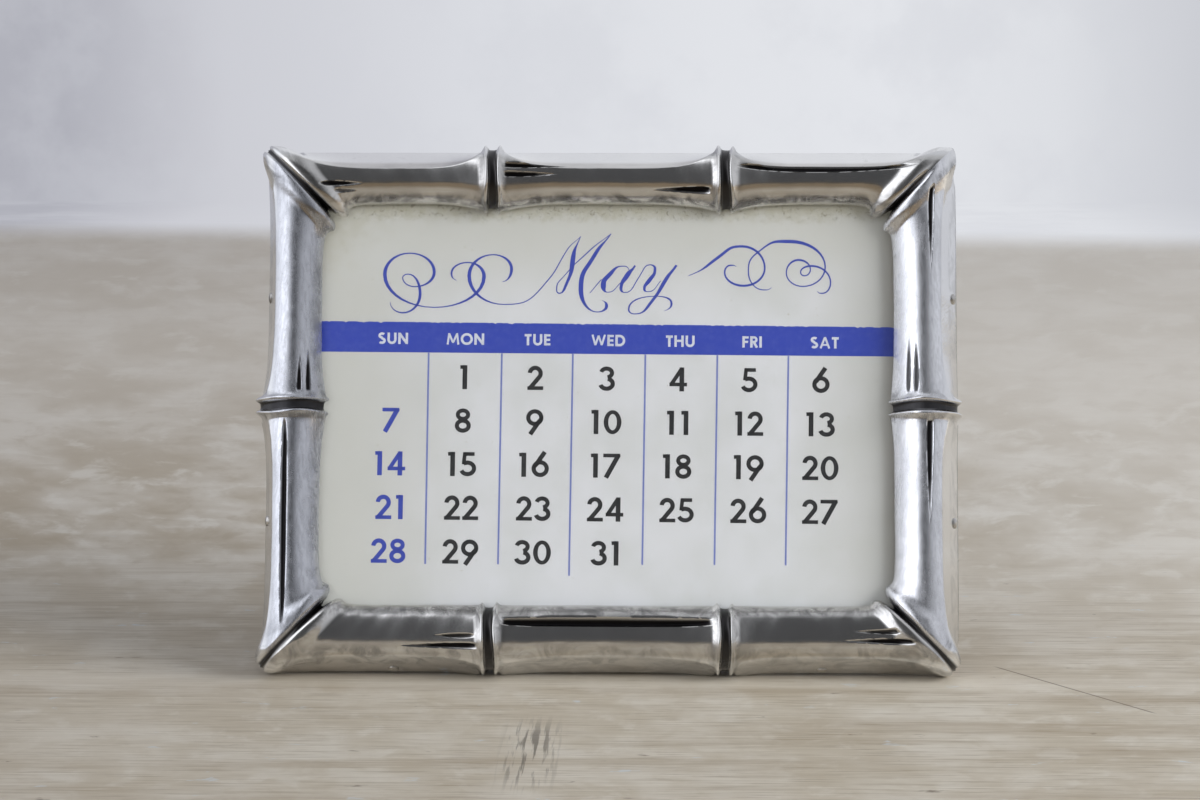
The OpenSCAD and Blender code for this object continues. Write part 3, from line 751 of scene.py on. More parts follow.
        glass = GLASS_FRONT + 0 * back
        wall = WALL_IN + 0 * back
        inner_z = -np.sqrt(np.maximum(self.front_r[:, :1] ** 2 - (LINE_Y - GLASS_FRONT) ** 2, 1.0))
        self.wall_y = np.hstack([back, back - EDGE_EASE, (back + GLASS_FRONT) / 2, glass, glass])
        self.wall_z = np.hstack([wall + EDGE_EASE, wall, wall, wall, (wall + inner_z) / 2])

    def over_all(self, front, flank, wall):
        """One number for every point, from values of the front, the flank and the wall."""
        return np.hstack([front, flank + 0 * self.flank_y, wall + 0 * self.wall_y]).ravel()

    def marks(self, grime_and_edge_shade, film_and_shade):
        """What the silver's finish reads: tarnish in cuts; soot at the rings' feet, with painted shade along
        the inner side and on the outer half, which patches break up; and polish.
        """
        mitre_groove = 1 - smoothstep(0.18, 0.5, self.gap / self.groove_spread(self.turned))
        ring_groove = 1 - smoothstep(0.5, 0.84, self.gap)
        groove = 0.95 * np.where(self.slant > 0.999, mitre_groove, ring_groove)
        groove = groove * (1 - self.worn_tip(self.turned))
        foot = 0.8 * np.exp(-((self.gap - 1.7) / 0.55) ** 2)
        inward = -self.turned / self.reach
        # Painted shade, with tarnish, in a band along the inner side of the front.
        edge = grime_and_edge_shade * smoothstep(0.4, 0.72, inward) * (1 - smoothstep(0.82, 0.96, inward))
        # Painted shade on the outer half of the front, strongest on the first cane.
        low = film_and_shade * np.where(self.cane == 0, 1.0, 0.75) * smoothstep(0.1, 0.5, self.turned)
        soot_and_shade = np.clip(np.maximum(np.maximum(foot, edge), low), 0, 1.3)
        tarnish_and_shade = np.clip(np.maximum(self.dark, groove), 0, 1)
        return {
            "tarnish_and_shade": self.over_all(tarnish_and_shade, np.clip(groove[:, -1:], 0, 1), 0.5),
            "soot_and_shade": self.over_all(soot_and_shade, 0.3, 0.0),
            "polish": self.over_all(smoothstep(0.6, 0.85, self.turned), 1.0, 1.0),
        }

    def build(self, name, silver, grime_and_edge_shade, film_and_shade=0.0):
        """The side as one closed shell, kept from reaching below the desk."""
        y = np.hstack([self.front_y, self.flank_y, self.wall_y])
        z = np.hstack([self.front_z, self.flank_z, self.wall_z])
        about = np.arctan2(z, LINE_Y - y)
        drift = 0.13 * np.sin(about * 2.3 + self.seed * 3 + self.s * 0.05) * np.exp(-(self.gap / 1.5) ** 2)
        x = self.s + self.shear * z + drift * (1 - np.minimum(1, self.slant * 8))
        points = rounded_corners(np.stack(self.put(x.ravel(), y.ravel(), z.ravel()), axis=1))
        obj = add_piece(
            name, points, tube_faces(*x.shape), silver, "frame",
            marks=self.marks(grime_and_edge_shade, film_and_shade),
        )
        places = np.array([v.co[:] for v in obj.data.vertices])
        places[:, 2] = np.maximum(places[:, 2], 0.0)
        obj.data.vertices.foreach_set("co", places.ravel())
        return obj


def build_canes():
    long_rings = (-RING_AT, RING_AT)
    top_side = CaneSide(
        LINE_X, long_rings, TOP_SCARS, lambda x, y, z: (x, y, LINE_Z + z), seed=1.0, rim=TOP_RIM,
        mouth=MOUTH, fuller=-0.25, shoulder=TOP_SHOULDER, nose=1.0,
    )
    bottom_side = CaneSide(
        LINE_X, long_rings, BOTTOM_SCARS, lambda x, y, z: (x, y, -LINE_Z - z), seed=2.3, rim=BOTTOM_RIM,
        fuller=0.8,
    )
    left_side = CaneSide(
        LINE_Z, (0.0,), LEFT_SCARS, lambda x, y, z: (-LINE_X - z, y, x), seed=3.1, rim=LEFT_RIM,
        flat=0.85,
    )
    right_side = CaneSide(
        LINE_Z, (0.0,), RIGHT_SCARS, lambda x, y, z: (LINE_X + z, y, x), seed=4.7, rim=RIGHT_RIM,
        fuller=0.35, flat=0.85, shoulder=RIGHT_SHOULDER, nose=1.0,
    )
    # The third number is painted shade, with tarnish, along the inner side; the bottom's fourth is painted
    # shade on its outer half.
    top = top_side.build("silver_top_cane", LEVEL_SILVER, 1.3)
    bottom = bottom_side.build("silver_bottom_cane", LEVEL_SILVER, 0.9, 0.75)
    left = left_side.build("silver_left_cane", LEFT_SILVER, 0.5)
    right = right_side.build("silver_right_cane", RIGHT_SILVER, 0.2)
    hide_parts("top_cane")
    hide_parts("bottom_cane")
    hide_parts("left_cane")
    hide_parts("right_cane")


# ---- Pins ----

PIN_INSET = 2.0      # from the back edge
PIN_RISE = 16.65     # of the side pins, from the middle
PIN_REACH = 31.45    # of the bottom pins, from the middle
PIN_SIZES = {"Head Radius": 0.8, "Head Height": 0.32, "Shank Radius": 0.4, "Shank Length": 3.6}


def flank_seat(rim, depth):
    """Reach of a waist's flank at a depth, and its outward normal as (outwards, frontwards)."""
    run = -LINE_Y + WAIST_R * math.cos(SHOULDER)
    rise = rim - WAIST_R * math.sin(SHOULDER)
    reach = rim + rise * depth / run
    long = math.hypot(run, rise)
    return reach, run / long, rise / long


def make_pin_tree():
    """Round-headed pins on the points of a mesh, each along the point's own aim."""
    tree = bpy.data.node_groups.new("round-headed pins", "GeometryNodeTree")
    new_socket = tree.interface.new_socket
    new_socket("Geometry", in_out="INPUT", socket_type="NodeSocketGeometry")
    sockets = {}
    for label in PIN_SIZES:
        sockets[label] = new_socket(label, in_out="INPUT", socket_type="NodeSocketFloat")
    sockets["Material"] = new_socket("Material", in_out="INPUT", socket_type="NodeSocketMaterial")
    new_socket("Geometry", in_out="OUTPUT", socket_type="NodeSocketGeometry")
    net = Net(tree)
    start = net.add("NodeGroupInput")
    end = net.add("NodeGroupOutput")

    radius = start.outputs["Head Radius"]
    head = net.make("GeometryNodeMeshUVSphere", Segments=28, Rings=14, Radius=radius)
    share = net.math("DIVIDE", start.outputs["Head Height"], radius)
    squash = net.make("ShaderNodeCombineXYZ", X=1.0, Y=1.0, Z=share).outputs[0]
    flat_head = net.make("GeometryNodeTransform", Geometry=head.outputs["Mesh"], Scale=squash)

    length = start.outputs["Shank Length"]
    shank = net.make(
        "GeometryNodeMeshCylinder", Vertices=16, Radius=start.outputs["Shank Radius"], Depth=length
    )
    sink = net.make("ShaderNodeCombineXYZ", Z=net.times(length, -0.5)).outputs[0]
    sunk = net.make("GeometryNodeTransform", Geometry=shank.outputs["Mesh"], Translation=sink)

    pin = net.add("GeometryNodeJoinGeometry")
    net.link(flat_head.outputs["Geometry"], pin.inputs["Geometry"])
    net.link(sunk.outputs["Geometry"], pin.inputs["Geometry"])
    aim = net.fill(net.add("GeometryNodeInputNamedAttribute", data_type="FLOAT_VECTOR"), Name="aim")
    turn = net.add("FunctionNodeAlignRotationToVector", axis="Z")
    net.fill(turn, Vector=aim.outputs["Attribute"])
    spread = net.make(
        "GeometryNodeInstanceOnPoints",
        Points=start.outputs["Geometry"],
        Instance=pin.outputs["Geometry"],
        Rotation=turn.outputs["Rotation"],
    )
    real = net.make("GeometryNodeRealizeInstances", Geometry=spread.outputs["Instances"])
    smooth = net.make("GeometryNodeSetShadeSmooth", Geometry=real.outputs["Geometry"])
    finish = net.make("GeometryNodeSetMaterial", Geometry=smooth.outputs["Geometry"])
    net.fill(finish, Material=start.outputs["Material"])
    net.fill(end, Geometry=finish.outputs["Geometry"])
    return tree, sockets


def build_pins():
    """The six pins that hold the silver to the wood, on the waists of three sides."""
    places = []
    aims = []
    for rim, side in ((LEFT_RIM, -1), (RIGHT_RIM, 1)):
        reach, out, front = flank_seat(rim, -PIN_INSET)
        for z in (-PIN_RISE, PIN_RISE):
            places.append((side * (LINE_X + reach), -PIN_INSET, z))
            aims.append((side * out, -front, 0.0))
    reach, out, front = flank_seat(BOTTOM_RIM, -PIN_INSET)
    for x in (-PIN_REACH, PIN_REACH):
        places.append((x, -PIN_INSET, -LINE_Z - reach))
        aims.append((0.0, -front, -out))
    seats = stand(places)
    ahead = stand(np.array(places) + np.array(aims)) - seats
    mesh = bpy.data.meshes.new("pin places")
    mesh.from_pydata(seats.tolist(), [], [])
    layer = mesh.attributes.new("aim", "FLOAT_VECTOR", "POINT")
    layer.data.foreach_set("vector", ahead.astype(np.float32).ravel())
    seed = bpy.data.objects.new("pin places", mesh)
    bpy.context.scene.collection.objects.link(seed)
    tree, sockets = make_pin_tree()
    live = seed.modifiers.new("pins", "NODES")
    live.node_group = tree
    for label, size in PIN_SIZES.items():
        live[sockets[label].identifier] = size / 1000.0
    live[sockets["Material"].identifier] = PIN_SILVER
    shaped = seed.evaluated_get(bpy.context.evaluated_depsgraph_get())
    plain = bpy.data.meshes.new_from_object(shaped)
    pins = bpy.data.objects.new("silver_pins", plain)
    bpy.context.scene.collection.objects.link(pins)
    bpy.data.objects.remove(seed)
    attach(pins, "frame")
    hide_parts("rim_pins")


# ---- Printing: pen strokes laid on a card as thin raised ink ----

INK_SUNK = 0.01      # how deep the ink reaches into its card, in mm


class Print:
    """Collects flat strokes of one ink on one card face, and makes them one thin solid."""

    def __init__(self, face_y, rise=0.012):
        self.points = []
        self.faces = []
        self.front = face_y - rise
        self.back = face_y + INK_SUNK

    def ribbon(self, path, widths, closed=False):
        """A stroke along path (x, z), with its width at every point."""
        p = np.asarray(path, dtype=float)
        w = np.broadcast_to(np.asarray(widths, dtype=float), (len(p),))[:, None] / 2
        if closed:
            along = np.roll(p, -1, axis=0) - np.roll(p, 1, axis=0)
        else:
            along = np.gradient(p, axis=0)
        along /= np.maximum(np.linalg.norm(along, axis=1, keepdims=True), 1e-9)
        side = np.stack([-along[:, 1], along[:, 0]], axis=1)
        left = p + side * w
        right = p - side * w
        base = len(self.points)
        n = len(p)
        for edge, depth in ((left, self.front), (right, self.front), (right, self.back), (left, self.back)):
            self.points += [(q[0], depth, q[1]) for q in edge]
        runs = n if closed else n - 1
        for i in range(runs):
            j = (i + 1) % n
            for k in range(4):
                m = (k + 1) % 4
                self.faces.append((base + k * n + i, base + k * n + j, base + m * n + j, base + m * n + i))
        if not closed:
            self.faces.append(tuple(base + k * n for k in range(4)))
            self.faces.append(tuple(base + k * n + n - 1 for k in range(4)))

    def shape(self, outline):
        """A flat filled outline (x, z)."""
        base = len(self.points)
        n = len(outline)
        self.points += [(x, self.front, z) for x, z in outline]
        self.points += [(x, self.back, z) for x, z in outline]
        self.faces.append(tuple(range(base, base + n)))
        self.faces.append(tuple(range(base + n, base + 2 * n)))
        for i in range(n):
            j = (i + 1) % n
            self.faces.append((base + i, base + j, base + n + j, base + n + i))

    def finish(self, name, material, body):
        add_piece(name, np.array(self.points), self.faces, material, body, smooth=False)


PEN_STEPS = 9        # points of a pen path from one knot to the next
QUARTER = 0.5523     # reach of a handle that bends a path into a quarter circle


def pen_path(knots):
    """A smooth path through knots of place, heading in degrees and pen width."""
    places = []
    widths = []
    for (x0, z0, h0, w0), (x1, z1, h1, w1) in zip(knots, knots[1:]):
        d = np.array([x1 - x0, z1 - z0])
        run = np.hypot(*d)
        t0 = np.array([math.cos(math.radians(h0)), math.sin(math.radians(h0))])
        t1 = np.array([math.cos(math.radians(h1)), math.sin(math.radians(h1))])
        a = t0 * max(QUARTER * abs(d @ t0), 0.3 * run)
        b = t1 * max(QUARTER * abs(d @ t1), 0.3 * run)
        p0 = np.array([x0, z0])
        p3 = np.array([x1, z1])
        for i in range(PEN_STEPS):
            t = i / PEN_STEPS
            u = 1 - t
            places.append(u ** 3 * p0 + 3 * u * u * t * (p0 + a) + 3 * u * t * t * (p3 - b) + t ** 3 * p3)
            ease = t * t * (3 - 2 * t)
            widths.append(w0 + (w1 - w0) * ease)
    places.append(np.array(knots[-1][:2], dtype=float))
    widths.append(knots[-1][3])
    return np.array(places), np.array(widths)


def arc(cx, cz, rx, rz, start, stop, steps=26):
    """Points of an elliptical arc; angles in degrees."""
    a = np.radians(np.linspace(start, stop, steps))
    return np.stack([cx + rx * np.cos(a), cz + rz * np.sin(a)], axis=1)


def joined(*parts):
    return np.concatenate([np.asarray(p, dtype=float) for p in parts])


# ---- Figures and capitals: each is a width and its pen strokes as (path, pen width, closed) ----

FIGURE_H = 3.57      # mm
STEM = 0.69          # pen width of the figures' upright strokes
BAR = 0.55           # pen width of their level strokes
CAPITAL_PEN = 0.215  # pen width of the capitals, which are drawn 1 unit high
SLANT_PEN = 0.17     # pen width of their slanting strokes


def pen(path, width):
    return path, width, False


def ring(cx, cz, rx, rz, width):
    """A closed oval, drawn with 40 points."""
    return arc(cx, cz, rx, rz, 0, 351, 40), width, True


def line(x0, z0, x1, z1, width=CAPITAL_PEN):
    return pen([(x0, z0), (x1, z1)], width)


def make_figures():
    around = np.radians(np.linspace(0, 360, 41)[:-1])
    two = joined(arc(1.13, 2.45, 0.8, 0.82, 176, -38), [(0.42, 0.3)])
    five = joined([(0.52, 1.9)], arc(1.08, 1.16, 0.96, 0.85, 112, -158))
    six = pen_path([(1.95, 3.72, -123, 0.66), (0.85, 2.05, -122, 0.66), (0.34, 1.2, -92, 0.62)])
    nine = pen_path([(0.65, -0.15, 57, 0.66), (1.75, 1.52, 58, 0.66), (2.26, 2.37, 88, 0.62)])
    return {
        "0": (2.62, [ring(1.31, FIGURE_H / 2, 0.97, 1.49, STEM - 0.12 * np.abs(np.sin(around)))]),
        "1": (1.05, [line(0.7, 0.0, 0.7, FIGURE_H, STEM), line(0.0, 3.27, 0.7, 3.31, BAR)]),
        "2": (2.35, [pen(two, 0.64), line(0.0, 0.27, 2.35, 0.27, BAR)]),
        "3": (2.4, [pen(arc(1.13, 2.63, 0.8, 0.65, 168, -80), 0.62),
                    pen(arc(1.15, 1.03, 0.91, 0.74, 80, -166), 0.64)]),
        "4": (2.65, [line(0.3, 0.98, 1.87, 3.42, 0.58), line(0.05, 1.03, 2.65, 1.03, BAR),
                     line(1.87, 0.0, 1.87, FIGURE_H, STEM)]),
        "5": (2.36, [line(0.45, 3.29, 2.1, 3.29, BAR), line(0.68, 3.5, 0.5, 1.75, 0.55), pen(five, 0.63)]),
        "6": (2.6, [ring(1.3, 1.24, 0.96, 0.93, 0.63), pen(*six)]),
        "7": (2.6, [line(0.0, 3.29, 2.5, 3.29, BAR), line(2.27, 3.42, 0.42, 0.0, STEM)]),
        "8": (2.4, [ring(1.2, 2.66, 0.76, 0.62, 0.6), ring(1.2, 1.03, 0.87, 0.74, 0.63)]),
        "9": (2.6, [ring(1.3, 2.33, 0.96, 0.93, 0.63), pen(*nine)]),
    }


def make_capitals():
    w = CAPITAL_PEN
    low = w / 2
    high = 1 - low
    thin = 0.9 * w
    stem = line(low, 0, low, 1)
    spine = joined(arc(0.34, 0.735, 0.22, 0.17, 38, 262, 18), arc(0.33, 0.28, 0.235, 0.185, 82, -142, 18))
    bowl = joined([(low + 0.02, 1.0)], arc(0.41, 0.38, 0.295, 0.285, 180, 360, 18), [(0.8 - low, 1.0)])
    wide_bow = joined([(0.1, high)], arc(0.36, 0.5, 0.4, 0.405, 90, -90, 20), [(0.1, low)])
    small_bow = joined([(0.1, high)], arc(0.34, 0.7, 0.2, 0.205, 90, -90, 16), [(0.1, 0.495)])
    return {
        "A": (0.92, [line(0.08, 0, 0.46, 0.98, SLANT_PEN), line(0.84, 0, 0.46, 0.98, SLANT_PEN),
                     line(0.2, 0.3, 0.72, 0.3, 0.15)]),
        "D": (0.86, [stem, pen(wide_bow, w)]),
        "E": (0.56, [stem, line(0, high, 0.56, high, thin), line(0, 0.5, 0.53, 0.5, thin),
                     line(0, low, 0.56, low, thin)]),
        "F": (0.54, [stem, line(0, high, 0.54, high, thin), line(0, 0.5, 0.5, 0.5, thin)]),
        "H": (0.82, [stem, line(0.82 - low, 0, 0.82 - low, 1), line(0, 0.53, 0.82, 0.53, thin)]),
        "I": (0.19, [stem]),
        "M": (1.08, [line(0.07, 0, 0.2, 1, SLANT_PEN), line(1.01, 0, 0.88, 1, SLANT_PEN),
                     line(0.2, 0.95, 0.54, 0.16, SLANT_PEN), line(0.88, 0.95, 0.54, 0.16, SLANT_PEN)]),
        "N": (0.86, [stem, line(0.86 - low, 0, 0.86 - low, 1), line(low, 0.93, 0.86 - low, 0.07)]),
        "O": (1.04, [(arc(0.52, 0.5, 0.425, 0.415, 0, 348, 30), w, True)]),
        "R": (0.66, [stem, pen(small_bow, 0.92 * w), line(0.3, 0.5, 0.6, 0.0)]),
        "S": (0.66, [pen(spine, w)]),
        "T": (0.6, [line(0.0, high, 0.6, high), line(0.3, 0, 0.3, 1)]),
        "U": (0.82, [pen(bowl, w)]),
        "W": (1.24, [line(0.08, 1, 0.34, 0.08, SLANT_PEN), line(0.34, 0.08, 0.62, 0.92, SLANT_PEN),
                     line(0.62, 0.92, 0.9, 0.08, SLANT_PEN), line(0.9, 0.08, 1.16, 1, SLANT_PEN)]),
    }


FIGURES = make_figures()
CAPITALS = make_capitals()
SIDE_BEARING = (0.17, 0.17)  # room before and after a figure
ONE_BEARING = (0.46, 0.6)    # the same for a 1


def tilt(path):
    """Turns a path by the slight slope at which the date cards were printed."""
    p = np.asarray(path, dtype=float)
    return np.stack([p[:, 0] + 0.009 * (p[:, 1] + 8), p[:, 1] - 0.0081 * p[:, 0]], axis=1)


def set_figures(ink, text, centre, middle):
    """A number set with its centre at centre and its mid height at middle."""
    x = 0.0
    places = []
    for figure in text:
        before, after = ONE_BEARING if figure == "1" else SIDE_BEARING
        x += before if places else 0.0
        places.append((figure, x))
        x += FIGURES[figure][0] + after
    total = x - after
    for figure, at in places:
        for path, width, closed in FIGURES[figure][1]:
            p = np.asarray(path, dtype=float)
            moved = p + np.array([centre - total / 2 + at, middle - FIGURE_H / 2])
            ink.ribbon(tilt(moved), width, closed)


def set_word(ink, text, centre, foot, height, spacing):
    """A word in capitals, centred, with letter spacing in units of its height."""
    total = (sum(CAPITALS[c][0] for c in text) + spacing * (len(text) - 1)) * height
    x = centre - total / 2
    for letter in text:
        width, strokes = CAPITALS[letter]
        for path, thickness, closed in strokes:
            p = np.asarray(path, dtype=float) * height + np.array([x, foot])
            ink.ribbon(tilt(p), thickness * height, closed)
        x += (width + spacing) * height


# ---- Cards ----

CARD_CORNER = 1.5    # rounding of a card's corners, in mm
CARD_EASE = 0.06     # softening of its edges
# The date card's print, in mm from the middle of the frame
COLUMNS = (-32.05, -21.45, -10.85, -0.3, 10.18, 20.7, 31.2)  # middles of the seven columns
ROW_TOP = 4.33       # mid height of the first row
ROW_PITCH = 6.44
LINE_TOPS = (-26.56, -15.74, -5.25, 5.45, 16.06, 26.52)      # the lines between columns
LINE_FEET = (-26.73, -16.04, -5.62, 5.1, 15.66, 26.07)
LINE_W = 0.27
LINE_END = -23.1     # where the lines stop; the third reaches lower
LONG_LINE_END = -24.75
WEEKDAYS = ("SUN", "MON", "TUE", "WED", "THU", "FRI", "SAT")
WORD_CENTRES = (-32.0, -21.28, -10.64, -0.18, 10.44, 21.0, 31.7)
WORD_FOOT = 9.16
WORD_H = 1.69
WORD_SPACING = 0.14  # between letters, as a share of their height
DATE_TOP_LEFT = 12.9  # the card's top, which was cut slightly aslant
DATE_TOP_RIGHT = 12.1
BAND_FOOT = 7.98     # the band's lower edge in the middle, and its slope
BAND_SLOPE = -0.0064


def card_outline(top_left, top_right):
    """The outline of a card with four round corners, whose top may slope."""
    corners = (
        (CARD_HALF_W, top_right, 0), (-CARD_HALF_W, top_left, 90),
        (-CARD_HALF_W, CARD_BOTTOM, 180), (CARD_HALF_W, CARD_BOTTOM, 270),
    )
    points = []
    for x, z, start in corners:
        cx = x - math.copysign(CARD_CORNER, x)
        cz = z - CARD_CORNER if start < 180 else z + CARD_CORNER
        points += arc(cx, cz, CARD_CORNER, CARD_CORNER, start, start + 90, 7).tolist()
    return np.array(points)


def ragged_edge(left, right, top_left, top_right, amount, seed):
    """Points along a printed edge with small chips in it."""
    xs = np.arange(left, right, 0.22)
    base = top_left + (top_right - top_left) * (xs - left) / (right - left)
    waves = np.sin(xs * 2.3 + seed) * 0.35 + np.sin(xs * 5.9 + seed * 3) * 0.3
    waves = waves + np.sin(xs * 0.6 + seed) * 0.3
    chips = np.clip(np.sin(xs * 1.13 + seed * 2) * np.sin(xs * 3.7 + seed) - 0.55, 0, 1) * 2.2
    return xs, base + amount * (waves - 0.5 - chips)


def build_card(name, face_y, top_left, top_right, body, node):
    """A card with softened edges and a UV in mm over its face."""
    edge = card_outline(top_left, top_right)
    to_middle = edge.mean(axis=0) - edge
    inset = edge + to_middle / np.linalg.norm(to_middle, axis=1, keepdims=True) * CARD_EASE
    layers = ((inset, 0.0), (edge, 0.05), (edge, CARD_T - 0.05), (inset, CARD_T))
    points = np.concatenate(
        [np.stack([r[:, 0], np.full(len(r), face_y + d), r[:, 1]], axis=1) for r, d in layers]
    )
    sheet = points[:, [0, 2]]
    faces = tube_faces(len(layers), len(edge))
    obj = add_piece(name, points, faces, PAPER, body, smooth=False, sheet=sheet)
    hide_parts(node)


def build_weekday_band():
    band = Print(DATE_Y)
    inset = 0.05
    xs, tops = ragged_edge(
        inset - CARD_HALF_W, CARD_HALF_W - inset, DATE_TOP_LEFT + inset, DATE_TOP_RIGHT + inset, 0.16, 0.7
    )
    # The ragged edge stays a little below the card's own edge
    highest = DATE_TOP_LEFT - 0.06 - 0.009 * (xs + CARD_HALF_W)
    upper = np.stack([xs, np.minimum(tops, highest)], axis=1)
    lower = np.stack([xs, BAND_FOOT + BAND_SLOPE * xs], axis=1)
    band.shape(joined(upper, lower[::-1]))
    band.finish("weekday_band", BLUE_INK, "date_card")


def build_date_card():
    build_card("date_sheet", DATE_Y, DATE_TOP_LEFT, DATE_TOP_RIGHT, "date_card", "date_card")
    build_weekday_band()

    words = Print(DATE_Y, 0.02)
    for word, centre in zip(WEEKDAYS, WORD_CENTRES):
        set_word(words, word, centre, WORD_FOOT, WORD_H, WORD_SPACING)
    words.finish("weekday_words", BARE_PAPER, "date_card")

    lines = Print(DATE_Y)
    for n, (top, foot) in enumerate(zip(LINE_TOPS, LINE_FEET)):
        low = LONG_LINE_END if n == 2 else LINE_END
        lines.ribbon([(top + 0.01, BAND_FOOT - 0.03 + BAND_SLOPE * top), (foot, low)], LINE_W)
    lines.finish("column_lines", LINE_INK, "date_card")

    black = Print(DATE_Y)
    blue = Print(DATE_Y)
    for day in range(1, 32):
        row, column = divmod(day, 7)
        ink = blue if column == 0 else black
        set_figures(ink, str(day), COLUMNS[column], ROW_TOP - row * ROW_PITCH)
    black.finish("weekday_figures", BLACK_INK, "date_card")
    blue.finish("sunday_figures", SCRIPT_INK, "date_card")


# Pen strokes of the month's name and its scrolls: x, z, heading in degrees, pen width. The name is
# set by a scale and a shift in x and in z, and its thick strokes are made heavier than drawn.
MONTH_STROKES = (
    ((-32.0, 15.5, -90, 0.08), (-30.1, 13.95, 0, 0.2), (-27.6, 16.7, 90, 0.38), (-29.4, 19.62, 180, 0.15),
     (-30.2, 19.1, -90, 0.15), (-28.4, 17.78, 0, 0.16), (-25.55, 19.9, 90, 0.4), (-29.2, 22.7, 180, 0.18),
     (-32.85, 19.6, -90, 0.46), (-25.5, 14.75, 0, 0.14), (-18.2, 19.3, 90, 0.46), (-20.6, 21.35, 180, 0.18),
     (-23.0, 19.8, -90, 0.26), (-22.25, 18.7, -25, 0.08)),
    ((-15.5, 18.55, 0, 0.08), (-14.15, 20.4, 90, 0.4), (-16.9, 22.5, 180, 0.17), (-20.4, 19.4, -90, 0.46),
     (-15.3, 15.2, 0, 0.14), (-9.0, 18.5, 50, 0.15), (-6.6, 22.2, 60, 0.14), (-3.95, 25.2, 42, 0.08)),
    ((-4.0, 25.2, -112, 0.1), (-5.15, 21.6, -97, 0.54), (-6.1, 18.1, -113, 0.36), (-7.1, 16.85, 180, 0.16),
     (-7.5, 17.35, 90, 0.15), (-6.2, 19.6, 50, 0.12), (-3.0, 22.8, 43, 0.16), (0.5, 25.6, 38, 0.1)),
    ((0.45, 25.55, -125, 0.14), (-1.9, 22.5, -120, 0.46), (-3.92, 17.4, -90, 0.54), (-1.5, 14.12, 0, 0.13),
     (-0.13, 15.0, 90, 0.4), (-0.8, 15.85, 150, 0.06)),
    ((-2.6, 16.9, 48, 0.1), (-0.9, 18.9, 48, 0.13)),
    ((3.15, 20.3, 110, 0.1), (2.3, 20.85, 180, 0.13), (0.1, 19.4, -135, 0.5), (-0.62, 17.9, -90, 0.58),
     (-0.05, 17.02, 0, 0.12), (1.9, 18.4, 45, 0.1)),
    ((4.05, 20.95, -120, 0.24), (2.9, 19.5, -122, 0.54), (1.98, 17.6, -95, 0.4), (2.5, 16.98, 0, 0.13),
     (4.6, 19.2, 56, 0.14), (6.3, 21.05, 0, 0.14), (6.98, 20.5, -90, 0.36), (6.1, 18.7, -125, 0.48),
     (5.42, 17.5, -90, 0.34), (5.85, 17.1, 0, 0.12), (7.8, 18.7, 52, 0.1)),
    ((10.15, 21.0, -125, 0.3), (8.4, 18.6, -121, 0.46), (6.6, 15.8, -128, 0.38), (3.95, 13.85, 180, 0.14),
     (3.12, 14.5, 90, 0.22), (7.1, 16.45, 0, 0.12), (9.42, 15.4, -90, 0.28), (8.35, 14.3, -160, 0.06)),
    ((11.9, 19.45, 22, 0.1), (16.2, 22.1, 36, 0.38), (19.8, 23.78, 0, 0.32), (23.12, 20.6, -90, 0.24),
     (20.0, 18.0, 180, 0.3), (17.22, 19.95, 90, 0.22), (18.1, 21.0, 0, 0.2), (18.95, 20.8, -30, 0.08)),
    ((24.1, 17.75, -140, 0.08), (22.9, 17.4, 180, 0.15), (20.7, 20.1, 90, 0.17), (22.6, 23.3, 38, 0.2),
     (26.9, 24.5, 0, 0.44), (32.0, 20.8, -90, 0.2), (28.7, 17.92, 180, 0.17), (26.28, 19.9, 90, 0.17),
     (28.1, 21.8, 0, 0.28), (29.82, 20.4, -90, 0.18), (28.95, 19.48, 180, 0.17), (28.38, 20.0, 90, 0.17),
     (30.0, 20.92, 0, 0.26), (32.78, 18.5, -90, 0.2), (31.6, 16.92, 180, 0.17), (30.8, 17.2, 140, 0.08)),
)
NAME_SCALE = np.array([1.0056, 1.02])
NAME_SHIFT = np.array([-0.18, -0.12])


def heavier(widths):
    return widths * 1.14 - 0.01 + 0.75 * np.maximum(widths - 0.42, 0)


def build_month_card():
    build_card("month_sheet", MONTH_Y, MONTH_TOP, MONTH_TOP, "month_card", "month_card")
    script = Print(MONTH_Y)
    for knots in MONTH_STROKES:
        path, widths = pen_path(knots)
        script.ribbon(path * NAME_SCALE + NAME_SHIFT, heavier(widths))
    script.finish("month_script", SCRIPT_INK, "month_card")


# ---- Carried-over nodes ----

def dress(node, material, bevel=0.0):
    """Gives a node of the frame its finish and, where wanted, eased edges."""
    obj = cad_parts[node]
    obj.data.materials.clear()
    obj.data.materials.append(material)
    if bevel:
        weld = obj.modifiers.new("joined faces", "WELD")
        weld.merge_threshold = 0.000001
        ease = obj.modifiers.new("eased edges", "BEVEL")
        ease.width = bevel / 1000.0
        ease.segments = 2
        ease.limit_method = "ANGLE"
        ease.angle_limit = math.radians(40)
        ease.harden_normals = False


def dress_nodes():
    dress("glass_pane", GLASS)
    for node in ("left_strip", "right_strip", "bottom_strip"):
        dress(node, WELL_WOOD)
    dress("back_panel", BACK_WOOD, 0.25)
    dress("strut", STRUT_WOOD, 0.25)
    dress("spare_date_cards", SPARE_PAPER)
    dress("spare_month_cards", SPARE_PAPER)
    for node in ("fixed_leaf", "moving_leaf"):
        dress(node, BRASS, 0.06)
    for node in ("fixed_leaf_screws", "moving_leaf_screws", "hinge_pin"):
        dress(node, BRASS)


# ---- Stage, lights and camera ----

FAR_EDGE = 0.875     # where the desk ends at the wall, in metres
